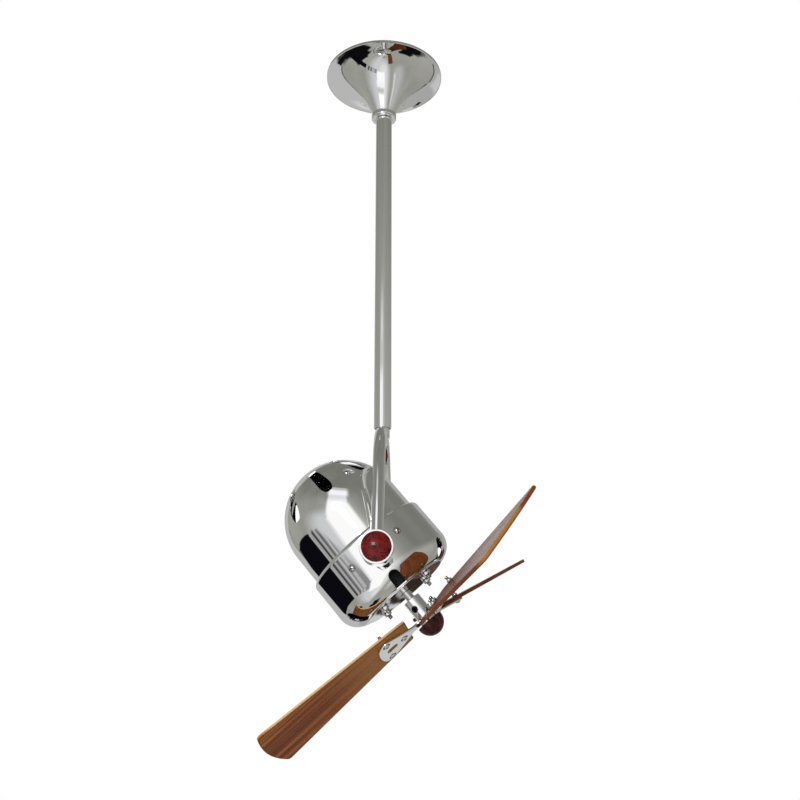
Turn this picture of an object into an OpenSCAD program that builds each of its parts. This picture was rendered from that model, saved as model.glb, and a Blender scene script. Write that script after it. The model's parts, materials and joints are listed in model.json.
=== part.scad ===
// Directional ceiling fan. A canopy and a downrod carry a swivelling yoke, and a drum-shaped motor
// head tilts in the yoke and drives three pitched wooden blades.
// The origin is on the ceiling, at the middle of the bracket. Z points up, the tilt axis lies along Y.

/* [Ceiling bracket] */
// Length of the plate that is screwed to the ceiling
bracket_len = 112; // [104:1:130]
// Width of the plate
bracket_w = 44; // [40:1:56]
// Thickness of the plate and its ears
bracket_t = 3; // [2:0.5:4]
// Distance between the two ceiling screw holes
screw_spacing = 89; // [80:1:92]
// Diameter of the ceiling screw holes
screw_hole_d = 5.2; // [4:0.1:6.5]
// Depth of the hanger bolt below the ceiling
hanger_drop = 30; // [26:1:34]
// Diameter of the hanger bolt
hanger_d = 6; // [5:0.5:8]

/* [Canopy] */
// Outer diameter of the rim
canopy_d = 188; // [170:1:210]
// Height from the rim to the collar
canopy_h = 71; // [66:1:80]
// Diameter of the neck where it meets the collar
neck_d = 36; // [32:1:38]
// Radius of the trumpet curve in section
flare_r = 110; // [100:1:140]
// Height of the straight lip at the rim
lip_h = 3; // [2:0.5:5]
// Thickness of the spun sheet
canopy_wall = 1.2; // [0.8:0.1:1.6]
// Outer diameter of the collar ring
collar_d = 40; // [39:1:48]
// Height of the collar ring
collar_h = 9; // [8:0.5:14]
// Diameter of the collar set screw
collar_screw_d = 4; // [3:0.5:5]

/* [Downrod] */
// Outer diameter of the rod
rod_d = 25.4; // [25:0.1:27]
// Length of the rod
rod_len = 587; // [300:1:900]
// Wall of the rod
rod_wall = 1.5; // [1.2:0.1:1.8]

/* [Swivel] */
// Diameter of the spigot that turns in the rod
spigot_d = 18; // [17:0.5:18.5]
// Length of the bush round the spigot
bush_h = 32; // [20:1:50]
// How far the bush lies above the rod's lower end
bush_recess = 8; // [4:1:14]
// Diameter of the visible part of the socket
socket_d = 20.6; // [20:0.1:21.2]
// From the rod's lower end to the socket's lower end
socket_drop = 15; // [13:0.5:18]
// From the rod's lower end to the middle of the yoke tube
arch_gap = 11; // [10:0.5:13]
// Bore for the wires
wire_bore_d = 11; // [8:0.5:12]

/* [Yoke] */
// Outer diameter of the yoke tube
tube_d = 17; // [15:0.5:18]
// Wall of the yoke tube
tube_wall = 1.5; // [1:0.1:2]
// Height from the tilt axis to the middle of the arch
yoke_h = 185; // [180:1:210]
// Straight stretch of each arm at the socket
arm_start = 5; // [4:0.5:10]
// Bend radius of each arm
arch_r = 84; // [78:1:92]
// Angle of each bend
arch_turn = 72; // [68:1:76]
// Diameter of the knob cups
cup_d = 44; // [40:1:50]
// Depth of the knob cups
cup_depth = 23; // [21:1:28]
// From the middle of the tube to the face of the cup
cup_face = 13; // [12:0.5:16]
// Diameter of the wooden caps
cap_d = 38.4; // [34:0.2:39]
// How far the caps stand out of the cups
cap_crown = 5.5; // [3:0.5:9]

/* [Tilt pivots] */
// Tilt of the fan axis below the horizontal, as posed
tilt = 50; // [0:1:90]
// Diameter of the pivot bolts
pivot_d = 10; // [8:0.5:12]
// Diameter of the neck behind each cup
neck_boss_d = 26; // [22:1:30]
// Thickness of the friction washers
washer_t = 1.5; // [1:0.1:3]

/* [Motor head] */
// Outer diameter of the drum-shaped front shell
drum_d = 181.8; // [170:0.2:186]
// From the tilt axis to the drum's front face
drum_front = 49; // [46:0.5:56]
// From the tilt axis to the drum's rear rim
drum_rear = 36; // [32:0.5:42]
// Radius of the drum's front corner
corner_r = 27; // [20:0.5:30]
// Radius of the drum's rolled rear rim
rim_r = 6; // [4:0.5:7]
// Sheet thickness of the drum
drum_wall = 1.6; // [1.2:0.1:2]
// Step from the drum's outer surface in to that of the domed rear shell
dome_step = 6.6; // [5:0.2:10]
// From the tilt axis to the centre of the dome's sphere
dome_back = 82; // [74:1:84]
// Sheet thickness of the dome
dome_wall = 1.3; // [1:0.1:1.6]
// Number of vent slots in the dome
dome_vents = 8; // [4:2:8]
// Angle that each of the dome's vent slots spans about the fan axis
dome_vent_span = 13.6; // [8:0.2:16]
// Radius at which the dome's vent slots begin
dome_vent_in = 47.6; // [40:0.2:56]
// Radius at which the dome's vent slots end
dome_vent_out = 80; // [74:0.5:80.5]
// Number of vent slots in the drum
drum_vents = 6; // [3:3:6]
// Width of the drum's vent slots
drum_vent_w = 16; // [8:0.5:18]
// From the tilt axis to the rear end of the drum's vent slots
drum_vent_rear = 27.6; // [24:0.2:32]
// Angle between each pivot and the shell screws beside it
shell_screw_turn = 25; // [18:1:40]
// From the tilt axis back to the shell screws
shell_screw_back = 8.3; // [4:0.1:12]
// Diameter of the shell screw heads
shell_screw_d = 9; // [6:0.5:11]

/* [Motor] */
// Outer diameter of the stator and the motor bells
stator_d = 116; // [112:1:120]
// Length of the stator
stator_h = 38; // [30:1:42]
// Diameter of the stator bore
stator_bore = 62.6; // [56:0.2:66]
// Air gap between the rotor and the stator
air_gap = 0.4; // [0.3:0.1:0.8]
// Diameter of the front plate
plate_d = 128.8; // [122:0.2:130]
// Thickness of the front plate
plate_t = 1.6; // [1.2:0.1:3]
// Diameter of the circle of the motor studs
stud_pcd = 101; // [98:0.5:104]
// Diameter of the motor studs
stud_d = 6; // [4:0.5:6]
// How far the motor studs stand out of the front plate
stud_out = 10.5; // [8:0.5:14]

/* [Rotor] */
// Diameter of the motor shaft
shaft_d = 12; // [10:0.5:14]
// Diameter of the hub
hub_d = 25; // [24:0.5:30]
// From the tilt axis to the hub's rear end
hub_rear = 63; // [60:0.5:68]
// From the tilt axis to the hub's front end
hub_front = 101; // [100.5:0.1:104]
// From the tilt axis to the hub set screw
hub_screw_at = 77.5; // [74:0.5:80]
// Diameter of the hub set screw
hub_screw_d = 8; // [6:0.5:8]
// From the tilt axis to the plane where the brackets meet the blades
blade_plane = 93.4; // [92:0.1:95]
// Turn of the first blade about the fan axis, as posed
blade_phase = 59.6; // [0:0.2:119.8]
// Pitch of the blades
blade_pitch = 13.9; // [8:0.1:15]
// Angle by which the blades lean forward towards their tips
blade_cone = 0.7; // [0:0.1:1.5]
// Diameter of the wooden finial
finial_d = 38; // [34:0.5:40]
// Diameter of the finial stud
finial_stud_d = 6; // [4:0.5:6]

/* [Blades] */
// Radius swept by the blade tips
sweep_r = 272.5; // [220:0.5:300]
// Radius at which the blades begin
root_r = 29; // [26:0.5:32]
// Width of the blades at the root
root_w = 72; // [66:1:84]
// Width of the blades where the tip curve begins
tip_w = 141; // [110:1:160]
// Radius from the fan axis at which that width is measured
tip_r = 259; // [210:1:280]
// Radius of the corners at the tip
tip_corner_r = 5; // [4:0.5:20]
// Thickness of the blades
blade_t = 5; // [4:0.1:8]

/* [Blade brackets] */
// Thickness of the bracket plates
plate_bracket_t = 3; // [2:0.1:3.4]
// Radius about the fan axis at which the brackets end
paddle_end = 82.5; // [80:0.5:88]
// Width that the brackets reach at the outer blade screws
paddle_w = 63.5; // [58:0.5:66]
// Radius of the corners at the bracket ends
paddle_corner_r = 13; // [8:0.5:14]
// Width of the tang that enters the hub
tang_w = 13; // [10:0.5:14]
// Radius at which the tang begins to widen
tang_out = 24; // [20:0.5:26]
// Distance of the outer blade screws from the fan axis
outer_screw_at = 67; // [64:0.5:69]
// Distance between the two outer blade screws
outer_screw_gap = 45; // [38:0.5:46]
// Distance of the inner blade screw from the fan axis
inner_screw_at = 41; // [38:0.5:43]
// Diameter of the blade screws
blade_screw_d = 5; // [4:0.5:5.5]
// Diameter of the blade screw heads
blade_screw_head = 8.6; // [8:0.1:9.5]
// Length of the oblong slot
oblong_len = 17.5; // [14:0.5:19]
// Width of the oblong slot
oblong_w = 12; // [6:0.5:13]
// Distance of the oblong slot's middle from the fan axis
oblong_at = 61.5; // [59:0.5:63]

/* [Hidden] */
$fn = 72;
// Clearances
fit = 0.02;
run_fit = 0.06;
face_gap = 0.1;
free_gap = 0.3;
over = 1;

// Heights along the rod
rim_z = -0.5;
ear_gap = 1.2;
ear_w = 30;
rod_top = -hanger_drop + 12;
rod_end = rod_top - rod_len;
neck_z = rim_z - canopy_h;
rod_bore = rod_d - 2 * rod_wall;
bush_low = rod_end + bush_recess;
bush_high = bush_low + bush_h;
arch_z = rod_end - arch_gap;
socket_low = rod_end - socket_drop;
pivot_z = arch_z - yoke_h;
nut_h = 9;

// Reach of the yoke arms from the rod axis, measured along Y
arch_reach = arm_start + arch_r * sin(arch_turn);
arch_fall = arch_r * (1 - cos(arch_turn));
leg_fall = yoke_h - arch_fall;
leg_len = leg_fall / sin(arch_turn);
arm_reach = arch_reach + leg_fall / tan(arch_turn);
cup_out = arm_reach + cup_face;
cup_in = cup_out - cup_depth;
cup_floor = cup_in + 4;
cap_seat = cup_out - 6;
bolt_head_h = 9;

// Distances from the fan axis to the pieces of the pivots
drum_r = drum_d / 2;
dome_r = drum_r - dome_step;
boss_out = drum_r + 2.6;
boss_d = neck_boss_d + 4;
neck_in = boss_out + washer_t + free_gap;

// Carrier between the shells and the motor
carrier_front = 14;
carrier_rear = -16;
carrier_r = drum_r - drum_wall - face_gap;
spigot_r = dome_r - dome_wall - face_gap;
carrier_bore_r = spigot_r - 3;
stator_r = stator_d / 2;

// Motor, measured along the fan axis from the tilt axis
bell_wall = 3;
bell_end = 4;
bell_front = drum_front - drum_wall - face_gap;
stator_front = bell_front - 23.3;
stator_rear = stator_front - stator_h;
bell_rear = stator_rear - 23.3;
bearing_d = 28;
bearing_h = 8;
bearing_boss_d = 36;
winding_in = stator_bore / 2 + 3;
winding_out = stud_pcd / 2 - stud_d / 2 - 2;
plate_back = drum_front + face_gap / 2;
plate_face = plate_back + plate_t;
shaft_end = hub_front - 13;
stud_nut_af = 10;
stud_nut_h = 5;
rotor_r = stator_bore / 2 - air_gap;

// Pattern angles about the fan axis, 90 being the front pivot
front_pivot = 90;
dome_vent_phase = 41.5;
drum_vent_phase = 31.7;
screw_sides = [-1, 1];
dome_screw_turns = [60, 240];
dome_screw_polar = 66;
blade_count = 3;

// Places and small shapes

// The motor head's own frame: Z is the fan axis, pointing at the air stream, Y is the front pivot
module in_head() {
    translate([0, 0, pivot_z]) rotate([0, tilt - 90, 0]) rotate([180, 0, 0]) children();
}

// Frame of one blade: X runs outwards, and Z = 0 is where the bracket lies on the blade
module in_blade(k) {
    in_head() rotate([0, 0, blade_phase + k * 360 / blade_count]) translate([0, 0, blade_plane])
        rotate([blade_pitch, 0, 0]) rotate([0, -blade_cone, 0]) children();
}

// Frame of one side of the tilt axis: Z runs outwards. Side -1 is the front, 1 is the rear
module on_pivot(side) {
    translate([0, 0, pivot_z]) rotate([-side * 90, 0, 0]) children();
}

module span(d, low, high) {
    translate([0, 0, low]) cylinder(d = d, h = high - low);
}

module ring(d_out, d_in, low, high) {
    difference() {
        span(d_out, low, high);
        span(d_in, low - over, high + over);
    }
}

module hex_nut(across, bore, low, high) {
    difference() {
        translate([0, 0, low]) cylinder(d = across / cos(30), h = high - low, $fn = 6);
        span(bore, low - over, high + over);
    }
}

// Ring with its outer edges rounded by e
module soft_ring(d_out, d_in, low, high, e) {
    rotate_extrude() difference() {
        union() {
            translate([0, low]) square([d_out / 2 - e, high - low]);
            translate([0, low + e]) square([d_out / 2, high - low - 2 * e]);
            for (z = [low + e, high - e]) translate([d_out / 2 - e, z]) circle(r = e, $fn = 32);
        }
        translate([-over, low - over]) square([d_in / 2 + over, high - low + 2 * over]);
    }
}

// Domed screw head on the plane Z = 0, with its shank below
module dome_screw(head_d, head_h, shank_d, shank_len) {
    cap_r = (head_d * head_d / 4 + head_h * head_h) / (2 * head_h);
    rotate_extrude() union() {
        intersection() {
            translate([0, head_h - cap_r]) circle(r = cap_r);
            square([head_d, head_d]);
        }
        translate([0, -shank_len]) square([shank_d / 2, shank_len + head_h / 4]);
    }
}

// Ceiling and rod

module ceiling_bracket() {
    ear_in = rod_d / 2 + ear_gap;
    color("silver") difference() {
        union() {
            translate([-bracket_len / 2, -bracket_w / 2, -bracket_t]) cube([bracket_len, bracket_w, bracket_t]);
            for (side = screw_sides) {
                translate([-ear_w / 2, side * (ear_in + bracket_t / 2) - bracket_t / 2, -hanger_drop])
                    cube([ear_w, bracket_t, hanger_drop - bracket_t / 2]);
                translate([0, side * (ear_in + bracket_t / 2) + bracket_t / 2, -hanger_drop])
                    rotate([90, 0, 0]) cylinder(d = ear_w, h = bracket_t);
            }
        }
        for (x = [-screw_spacing / 2, screw_spacing / 2]) translate([x, 0, 0])
            span(screw_hole_d, -bracket_t - over, over);
        translate([0, 0, -hanger_drop]) rotate([90, 0, 0])
            cylinder(d = hanger_d + 2 * free_gap, h = bracket_w + 2 * over, center = true);
    }
}

module hanger_bolt() {
    ear_out = rod_d / 2 + ear_gap + bracket_t + face_gap;
    color("silver") translate([0, 0, -hanger_drop]) rotate([90, 0, 0]) union() {
        translate([0, 0, ear_out]) cylinder(d = 1.7 * hanger_d / cos(30), h = 0.65 * hanger_d, $fn = 6);
        span(hanger_d, -ear_out - hanger_d, ear_out + over / 2);
    }
}

module hanger_nut() {
    ear_out = rod_d / 2 + ear_gap + bracket_t + face_gap;
    color("silver") translate([0, 0, -hanger_drop]) rotate([-90, 0, 0])
        hex_nut(1.7 * hanger_d, hanger_d + 2 * fit, ear_out, ear_out + 0.8 * hanger_d);
}

module terminal_block() {
    block = [24, 9, 10];
    color("ivory") difference() {
        translate([20, -block.y / 2, -bracket_t - face_gap - block.z]) cube(block);
        for (i = [0:2]) translate([24 + 8 * i, 0, -bracket_t - face_gap - block.z / 2])
            rotate([90, 0, 0]) cylinder(d = 3.4, h = block.y + 2 * over, center = true);
    }
}

module downrod() {
    color("lightgray") difference() {
        soft_ring(rod_d, rod_bore, rod_end, rod_top, 0.5);
        translate([0, 0, -hanger_drop]) rotate([90, 0, 0])
            cylinder(d = hanger_d + free_gap, h = rod_d + 2 * over, center = true);
    }
}

module swivel_bush() {
    color("goldenrod") ring(rod_bore - 2 * fit, spigot_d + 2 * run_fit, bush_low, bush_high);
}

// Centre of the trumpet curve, from its two end points and its radius
function flare_centre(a, b, r) =
    let (mid = (a + b) / 2, d = b - a, half = norm(d) / 2, lift = sqrt(r * r - half * half))
    mid + lift * [d.y, -d.x] / norm(d);

module canopy() {
    low = [neck_d / 2, neck_z];
    high = [canopy_d / 2, rim_z - lip_h];
    centre = flare_centre(low, high, flare_r);
    color("gainsboro") rotate_extrude($fn = 96) union() {
        intersection() {
            difference() {
                translate(centre) circle(r = flare_r + canopy_wall, $fn = 180);
                translate(centre) circle(r = flare_r, $fn = 180);
            }
            translate([0, neck_z]) square([canopy_d / 2, canopy_h - lip_h]);
        }
        translate([canopy_d / 2 - canopy_wall, rim_z - lip_h - canopy_wall / 2])
            square([canopy_wall, lip_h + canopy_wall / 2]);
    }
}

module collar_hole() {
    translate([0, 0, neck_z - collar_h / 2]) rotate([-90, 0, 0]) children();
}

module canopy_collar() {
    color("gainsboro") difference() {
        soft_ring(collar_d, rod_d + 2 * face_gap, neck_z - collar_h, neck_z, 2);
        span(rod_d + 3, neck_z - collar_h - over, neck_z - collar_h + 2);
        collar_hole() span(collar_screw_d + 2 * fit, rod_d / 2 - over, collar_d);
    }
}

module collar_set_screw() {
    color("silver") collar_hole() difference() {
        span(collar_screw_d, rod_d / 2 + face_gap, collar_d / 2 - 0.4);
        translate([0, 0, collar_d / 2 - 2.4]) cylinder(d = collar_screw_d / 2, h = 3, $fn = 6);
    }
}

// Yoke

module yoke_socket() {
    color("gainsboro") difference() {
        union() {
            span(socket_d, socket_low, bush_low - free_gap);
            span(spigot_d, socket_low, bush_high + free_gap + nut_h);
        }
        span(wire_bore_d, socket_low - over, bush_high + nut_h + 2 * over);
        translate([0, 0, arch_z]) rotate([90, 0, 0])
            cylinder(d = tube_d + 2 * face_gap, h = socket_d + 2 * over, center = true);
    }
}

module swivel_nut() {
    color("silver") ring(rod_bore - 2, spigot_d + 2 * fit, bush_high + free_gap, bush_high + free_gap + nut_h);
}

// Path of the front arm as a round bar: out of the socket, round the bend, down to the tilt axis
module arm_path(d, lead) {
    translate([0, lead, arch_z]) rotate([90, 0, 0]) cylinder(d = d, h = arm_start + lead);
    translate([0, -arm_start, arch_z - arch_r]) rotate([180, -90, 0]) {
        rotate_extrude(angle = arch_turn) translate([arch_r, 0]) circle(d = d);
        rotate([0, 0, arch_turn]) translate([arch_r, 0, 0]) rotate([-90, 0, 0]) cylinder(d = d, h = leg_len);
    }
}

module yoke_arm() {
    difference() {
        arm_path(tube_d, 0);
        arm_path(tube_d - 2 * tube_wall, over);
        span(wire_bore_d, arch_z, arch_z + tube_d);
        on_pivot(-1) span(cup_d + 2 * fit, 0, cup_out + over);
    }
}

module yoke_front_arm() {
    color("gainsboro") yoke_arm();
}

module yoke_rear_arm() {
    color("gainsboro") mirror([0, 1, 0]) yoke_arm();
}

// Cup with a neck towards the head, a pocket for the bolt head and a recess for the cap
module knob_cup(side) {
    color("gainsboro") on_pivot(side) difference() {
        union() {
            span(neck_boss_d, neck_in, cup_in + over);
            soft_ring(cup_d, 0, cup_in, cup_out, 0.8);
        }
        span(pivot_d + 2 * run_fit, neck_in - over, cup_out);
        span(1.9 * pivot_d + 2 * free_gap, cup_floor, cup_out + over);
        span(cap_d + 2 * free_gap, cap_seat, cup_out + over);
    }
}

module knob_cup_front() {
    knob_cup(-1);
}

module knob_cup_rear() {
    knob_cup(1);
}

module knob_cap(side) {
    ball_r = (cap_d * cap_d / 4 + cap_crown * cap_crown) / (2 * cap_crown);
    color("darkred") on_pivot(side) rotate_extrude() union() {
        translate([0, cap_seat + face_gap]) square([cap_d / 2, cup_out - cap_seat - face_gap]);
        intersection() {
            translate([0, cup_out + cap_crown - ball_r]) circle(r = ball_r);
            translate([0, cup_out - over / 2]) square([cap_d / 2, cap_d]);
        }
    }
}

module knob_cap_front() {
    knob_cap(-1);
}

module knob_cap_rear() {
    knob_cap(1);
}

// Motor head

// Filled section of the drum: rounded front corner, rolled rear rim
module drum_section(inset) {
    r = drum_r - inset;
    front = drum_front - inset;
    rear = -drum_rear + inset;
    corner = corner_r - inset;
    rim = rim_r - inset;
    translate([0, rear + rim]) square([r, front - corner - rear - rim]);
    translate([0, rear]) square([r - rim, front - corner - rear]);
    translate([0, rear + rim]) square([r - corner, front - rear - rim]);
    translate([r - corner, front - corner]) circle(r = corner);
    translate([r - rim, rear + rim]) circle(r = rim, $fn = 32);
}

module drum_vent() {
    end = drum_vent_w / 2;
    inner = plate_d / 2 + 2;
    translate([inner, -end, drum_vent_rear + end]) cube([drum_d, drum_vent_w, drum_front]);
    translate([inner, 0, drum_vent_rear + end]) rotate([0, 90, 0]) cylinder(r = end, h = drum_d);
}

module at_shell_screws() {
    for (side = [0, 180], turn = screw_sides)
        rotate([0, 0, front_pivot + side + turn * shell_screw_turn]) translate([drum_r, 0, -shell_screw_back])
            rotate([0, 90, 0]) children();
}

module front_shell() {
    color("gainsboro") in_head() difference() {
        rotate_extrude($fn = 120) difference() {
            drum_section(0);
            drum_section(drum_wall);
            translate([-over, -drum_rear - over]) square([dome_r + free_gap + over, drum_wall + 2 * over]);
            translate([-over, drum_front - drum_wall - over])
                square([stator_r - 2 + over, drum_wall + 2 * over]);
        }
        for (i = [0:drum_vents - 1]) rotate([0, 0, drum_vent_phase + i * 360 / drum_vents]) drum_vent();
        at_shell_screws() span(5, -2 * over - drum_wall, over);
        for (side = [0, 180]) rotate([0, 0, front_pivot + side]) rotate([0, 90, 0])
            span(boss_d + 2 * free_gap, stator_r, drum_d);
    }
}

function flipped(p) = [p.x, -p.y];

// Slot between two radial edges, with round outer corners
module dome_vent() {
    corner = 6;
    steps = 7;
    half = dome_vent_span / 2;
    turn = half - asin(corner / (dome_vent_out - corner));
    middle = (dome_vent_out - corner) * [cos(turn), sin(turn)];
    bend = (90 + half - turn) / steps;
    round = [for (i = [0:steps]) middle + corner * [cos(90 + half - i * bend), sin(90 + half - i * bend)]];
    start = dome_vent_in * [cos(half), sin(half)];
    end = dome_vent_out * [cos(turn / 3), sin(turn / 3)];
    side = concat([start], round, [end]);
    last = len(side) - 1;
    translate([0, 0, -dome_back - dome_r]) linear_extrude(dome_r)
        polygon(concat(side, [for (i = [0:last]) flipped(side[last - i])]));
}

module at_dome_screws() {
    for (turn = dome_screw_turns) rotate([0, 0, turn]) translate([0, 0, -dome_back])
        rotate([0, 180 - dome_screw_polar, 0]) translate([0, 0, dome_r]) children();
}

module rear_shell() {
    skirt_end = carrier_rear - face_gap;
    color("gainsboro") in_head() difference() {
        rotate([0, 0, dome_vent_phase + 540 / dome_vents]) rotate_extrude($fn = 100) union() {
            translate([0, -dome_back]) intersection() {
                difference() {
                    circle(r = dome_r, $fn = 90);
                    circle(r = dome_r - dome_wall, $fn = 90);
                }
                translate([0, -dome_r]) square([dome_r, dome_r]);
            }
            translate([dome_r - dome_wall, -dome_back]) square([dome_wall, skirt_end + dome_back]);
        }
        for (i = [0:dome_vents - 1]) rotate([0, 0, dome_vent_phase + i * 360 / dome_vents]) dome_vent();
        at_dome_screws() span(3.4, -dome_wall - over, over);
    }
}

module at_studs() {
    for (i = [0:3]) rotate([0, 0, 45 + 90 * i]) translate([stud_pcd / 2, 0, 0]) children();
}

module front_plate() {
    color("gainsboro") in_head() difference() {
        soft_ring(plate_d, shaft_d + 6, plate_back, plate_face, plate_t * 0.45);
        at_studs() span(stud_d + 2 * face_gap, plate_back - over, plate_face + over);
    }
}

// Ring with a spigot for the dome, a hoop for the stator, spokes and two threaded pivot bosses
module motor_carrier() {
    hoop_r = stator_r + 4;
    spoke_w = 12;
    color("darkgray") in_head() difference() {
        union() {
            ring(2 * carrier_r, 2 * carrier_bore_r, carrier_rear, carrier_front);
            ring(2 * spigot_r, 2 * carrier_bore_r, -drum_rear + 2, carrier_rear + over);
            ring(2 * hoop_r, stator_d + 2 * fit, -12, 12);
            for (i = [0:5]) rotate([0, 0, 60 * i]) translate([hoop_r - over, -spoke_w / 2, -12])
                cube([carrier_bore_r - hoop_r + 2 * over, spoke_w, 10]);
            for (side = [0, 180]) rotate([0, 0, front_pivot + side]) rotate([0, 90, 0])
                span(boss_d, hoop_r - over, boss_out);
        }
        for (side = [0, 180]) rotate([0, 0, front_pivot + side]) rotate([0, 90, 0])
            span(pivot_d + 2 * fit, hoop_r + 3, boss_out + over);
        at_shell_screws() span(4 + 2 * fit, -drum_wall - 8, 0);
    }
}

module shell_screws() {
    color("gainsboro") in_head() at_shell_screws() translate([0, 0, face_gap / 2])
        dome_screw(shell_screw_d, 3.2, 4, drum_wall + 7);
}

module dome_screws() {
    color("gainsboro") in_head() at_dome_screws() translate([0, 0, face_gap / 2])
        dome_screw(7, 2.2, 3, dome_wall + 4);
}

// Two flat bars from the carrier's spigot back to the dome screws
module dome_stays() {
    bar = [10, 2.4];
    rear_s = -dome_back - dome_r * cos(dome_screw_polar) - 8;
    foot_r = carrier_bore_r - face_gap;
    tip_r0 = sqrt(pow(dome_r - dome_wall, 2) - pow(rear_s + dome_back, 2)) - 1.4;
    color("silver") in_head() difference() {
        for (turn = dome_screw_turns) rotate([0, 0, turn]) translate([0, bar.x / 2, 0]) rotate([90, 0, 0])
            linear_extrude(bar.x) polygon([
                [foot_r, -drum_rear + 20],
                [foot_r, -dome_back],
                [tip_r0, rear_s],
                [tip_r0 - bar.y, rear_s],
                [foot_r - bar.y, -dome_back],
                [foot_r - bar.y, -drum_rear + 20]]);
        at_dome_screws() span(3 + 2 * fit, -dome_wall - 8, 0);
    }
}

// Motor bell with its open side at the stator
module motor_bell() {
    depth = bell_front - stator_front;
    difference() {
        union() {
            ring(stator_d, stator_d - 2 * bell_wall, 0, depth);
            span(stator_d - over, depth - bell_end, depth);
            span(bearing_boss_d, depth - bell_end - bearing_h - over, depth - bell_end + over);
        }
        span(bearing_d + 2 * fit, 0, depth - bell_end);
        at_studs() span(stud_d + 2 * face_gap, -over, depth + over);
        span(shaft_d + 2, depth - bell_end - over, depth + over);
    }
}

module motor_front_bell() {
    color("darkgray") in_head() translate([0, 0, stator_front]) motor_bell();
}

module motor_rear_bell() {
    color("darkgray") in_head() translate([0, 0, stator_rear]) mirror([0, 0, 1]) motor_bell();
}

module stator_core() {
    slots = 12;
    slot_r = winding_in + 4;
    color("dimgray") in_head() translate([0, 0, stator_rear]) linear_extrude(stator_h) difference() {
        circle(d = stator_d);
        circle(d = stator_bore);
        for (i = [0:slots - 1]) rotate(i * 360 / slots + 15) {
            translate([slot_r, 0]) circle(r = 3.6, $fn = 32);
            translate([0, -1.2]) square([slot_r, 2.4]);
        }
        for (i = [0:3]) rotate(45 + 90 * i) translate([stud_pcd / 2, 0]) circle(d = stud_d + 2 * face_gap);
    }
}

module stator_windings() {
    bundle_h = 9;
    edge = 3;
    section = [winding_out - winding_in - 2 * edge, bundle_h - 2 * edge];
    color("peru") in_head() for (z = [stator_front + face_gap, stator_rear - face_gap - bundle_h])
        rotate_extrude() translate([winding_in + edge, z + edge]) {
            translate([0, -edge]) square([section.x, bundle_h]);
            translate([-edge, 0]) square([section.x + 2 * edge, section.y]);
            for (x = [0, section.x], y = [0, section.y]) translate([x, y]) circle(r = edge, $fn = 24);
        }
}

module motor_studs() {
    rear = bell_rear - stud_nut_h - 4;
    color("silver") in_head() at_studs() span(stud_d, rear, plate_face + stud_out);
}

module stud_nuts_front() {
    low = plate_face + face_gap / 2;
    color("gainsboro") in_head() at_studs() hex_nut(stud_nut_af, stud_d + 2 * fit, low, low + stud_nut_h);
}

module stud_nuts_rear() {
    high = bell_rear - face_gap;
    color("silver") in_head() at_studs() hex_nut(stud_nut_af, stud_d + 2 * fit, high - stud_nut_h, high);
}

module bearing() {
    ring(bearing_d, shaft_d + 2 * fit, 0, bearing_h);
}

module front_bearing() {
    color("silver") in_head() translate([0, 0, bell_front - bell_end - bearing_h - face_gap]) bearing();
}

module rear_bearing() {
    color("silver") in_head() translate([0, 0, bell_rear + bell_end + face_gap]) bearing();
}

can_d = 30;
can_len = 50;
can_at = -28;

module capacitor() {
    high = bell_rear - face_gap;
    color("whitesmoke") in_head() translate([can_at, 0, 0]) soft_ring(can_d, 0, high - can_len, high, 2);
}

module capacitor_clip() {
    high = bell_rear - face_gap;
    color("silver") in_head() translate([can_at, 0, 0])
        ring(can_d + 3, can_d + 2 * face_gap, high - 20, high);
}

// Bolt that screws into the carrier's boss, and carries the yoke's cup on its shank
module pivot_bolt(side) {
    tip = stator_r + 9;
    head_low = cup_floor + free_gap;
    color("silver") on_pivot(side) difference() {
        union() {
            span(pivot_d, tip, head_low + over);
            span(1.6 * pivot_d, head_low, head_low + min(bolt_head_h, cap_seat - head_low - free_gap));
        }
        translate([0, 0, head_low + 3]) cylinder(d = 0.9 * pivot_d, h = bolt_head_h, $fn = 6);
    }
}

module pivot_bolt_front() {
    pivot_bolt(-1);
}

module pivot_bolt_rear() {
    pivot_bolt(1);
}

module pivot_washer(side) {
    color("dimgray") on_pivot(side)
        ring(neck_boss_d, pivot_d + 2 * face_gap, boss_out + face_gap / 2, boss_out + washer_t);
}

module pivot_washer_front() {
    pivot_washer(-1);
}

module pivot_washer_rear() {
    pivot_washer(1);
}

// Rotor

module shaft() {
    color("lightgray") in_head() span(shaft_d, bell_rear + bell_end + 2 * face_gap, shaft_end);
}

module rotor_core() {
    color("dimgray") in_head() ring(2 * rotor_r, shaft_d + 2 * fit, stator_rear, stator_front);
}

module at_hub_screw() {
    rotate([0, 0, blade_phase + 180 / blade_count]) translate([0, 0, hub_screw_at]) rotate([0, 90, 0]) children();
}

module tang_slot() {
    translate([hub_d / 3, -tang_w / 2 - fit, -fit]) cube([hub_d, tang_w + 2 * fit, plate_bracket_t + 2 * fit]);
}

module hub() {
    color("gainsboro") difference() {
        in_head() difference() {
            soft_ring(hub_d, 0, hub_rear, hub_front, 0.6);
            span(shaft_d + 2 * fit, hub_rear - over, shaft_end + face_gap);
            span(finial_stud_d + 2 * fit, hub_front - 9, hub_front + over);
            at_hub_screw() span(hub_screw_d + 2 * fit, 0, hub_d);
        }
        for (k = [0:blade_count - 1]) in_blade(k) tang_slot();
    }
}

module hub_set_screw() {
    color("silver") in_head() at_hub_screw() difference() {
        span(hub_screw_d, shaft_d / 2 + face_gap, hub_d / 2 - 1.4);
        translate([0, 0, hub_d / 2 - 4]) cylinder(d = 0.6 * hub_screw_d, h = 4, $fn = 6);
    }
}

// What lies outside a round corner of radius r at c, between the directions of a and b
module corner_cutter(c, a, b, r) {
    far_a = c + 4 * (a - c);
    far_b = c + 4 * (b - c);
    difference() {
        polygon([c, far_a, far_a + far_b - c, far_b]);
        translate(c) circle(r = r);
    }
}

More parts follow.
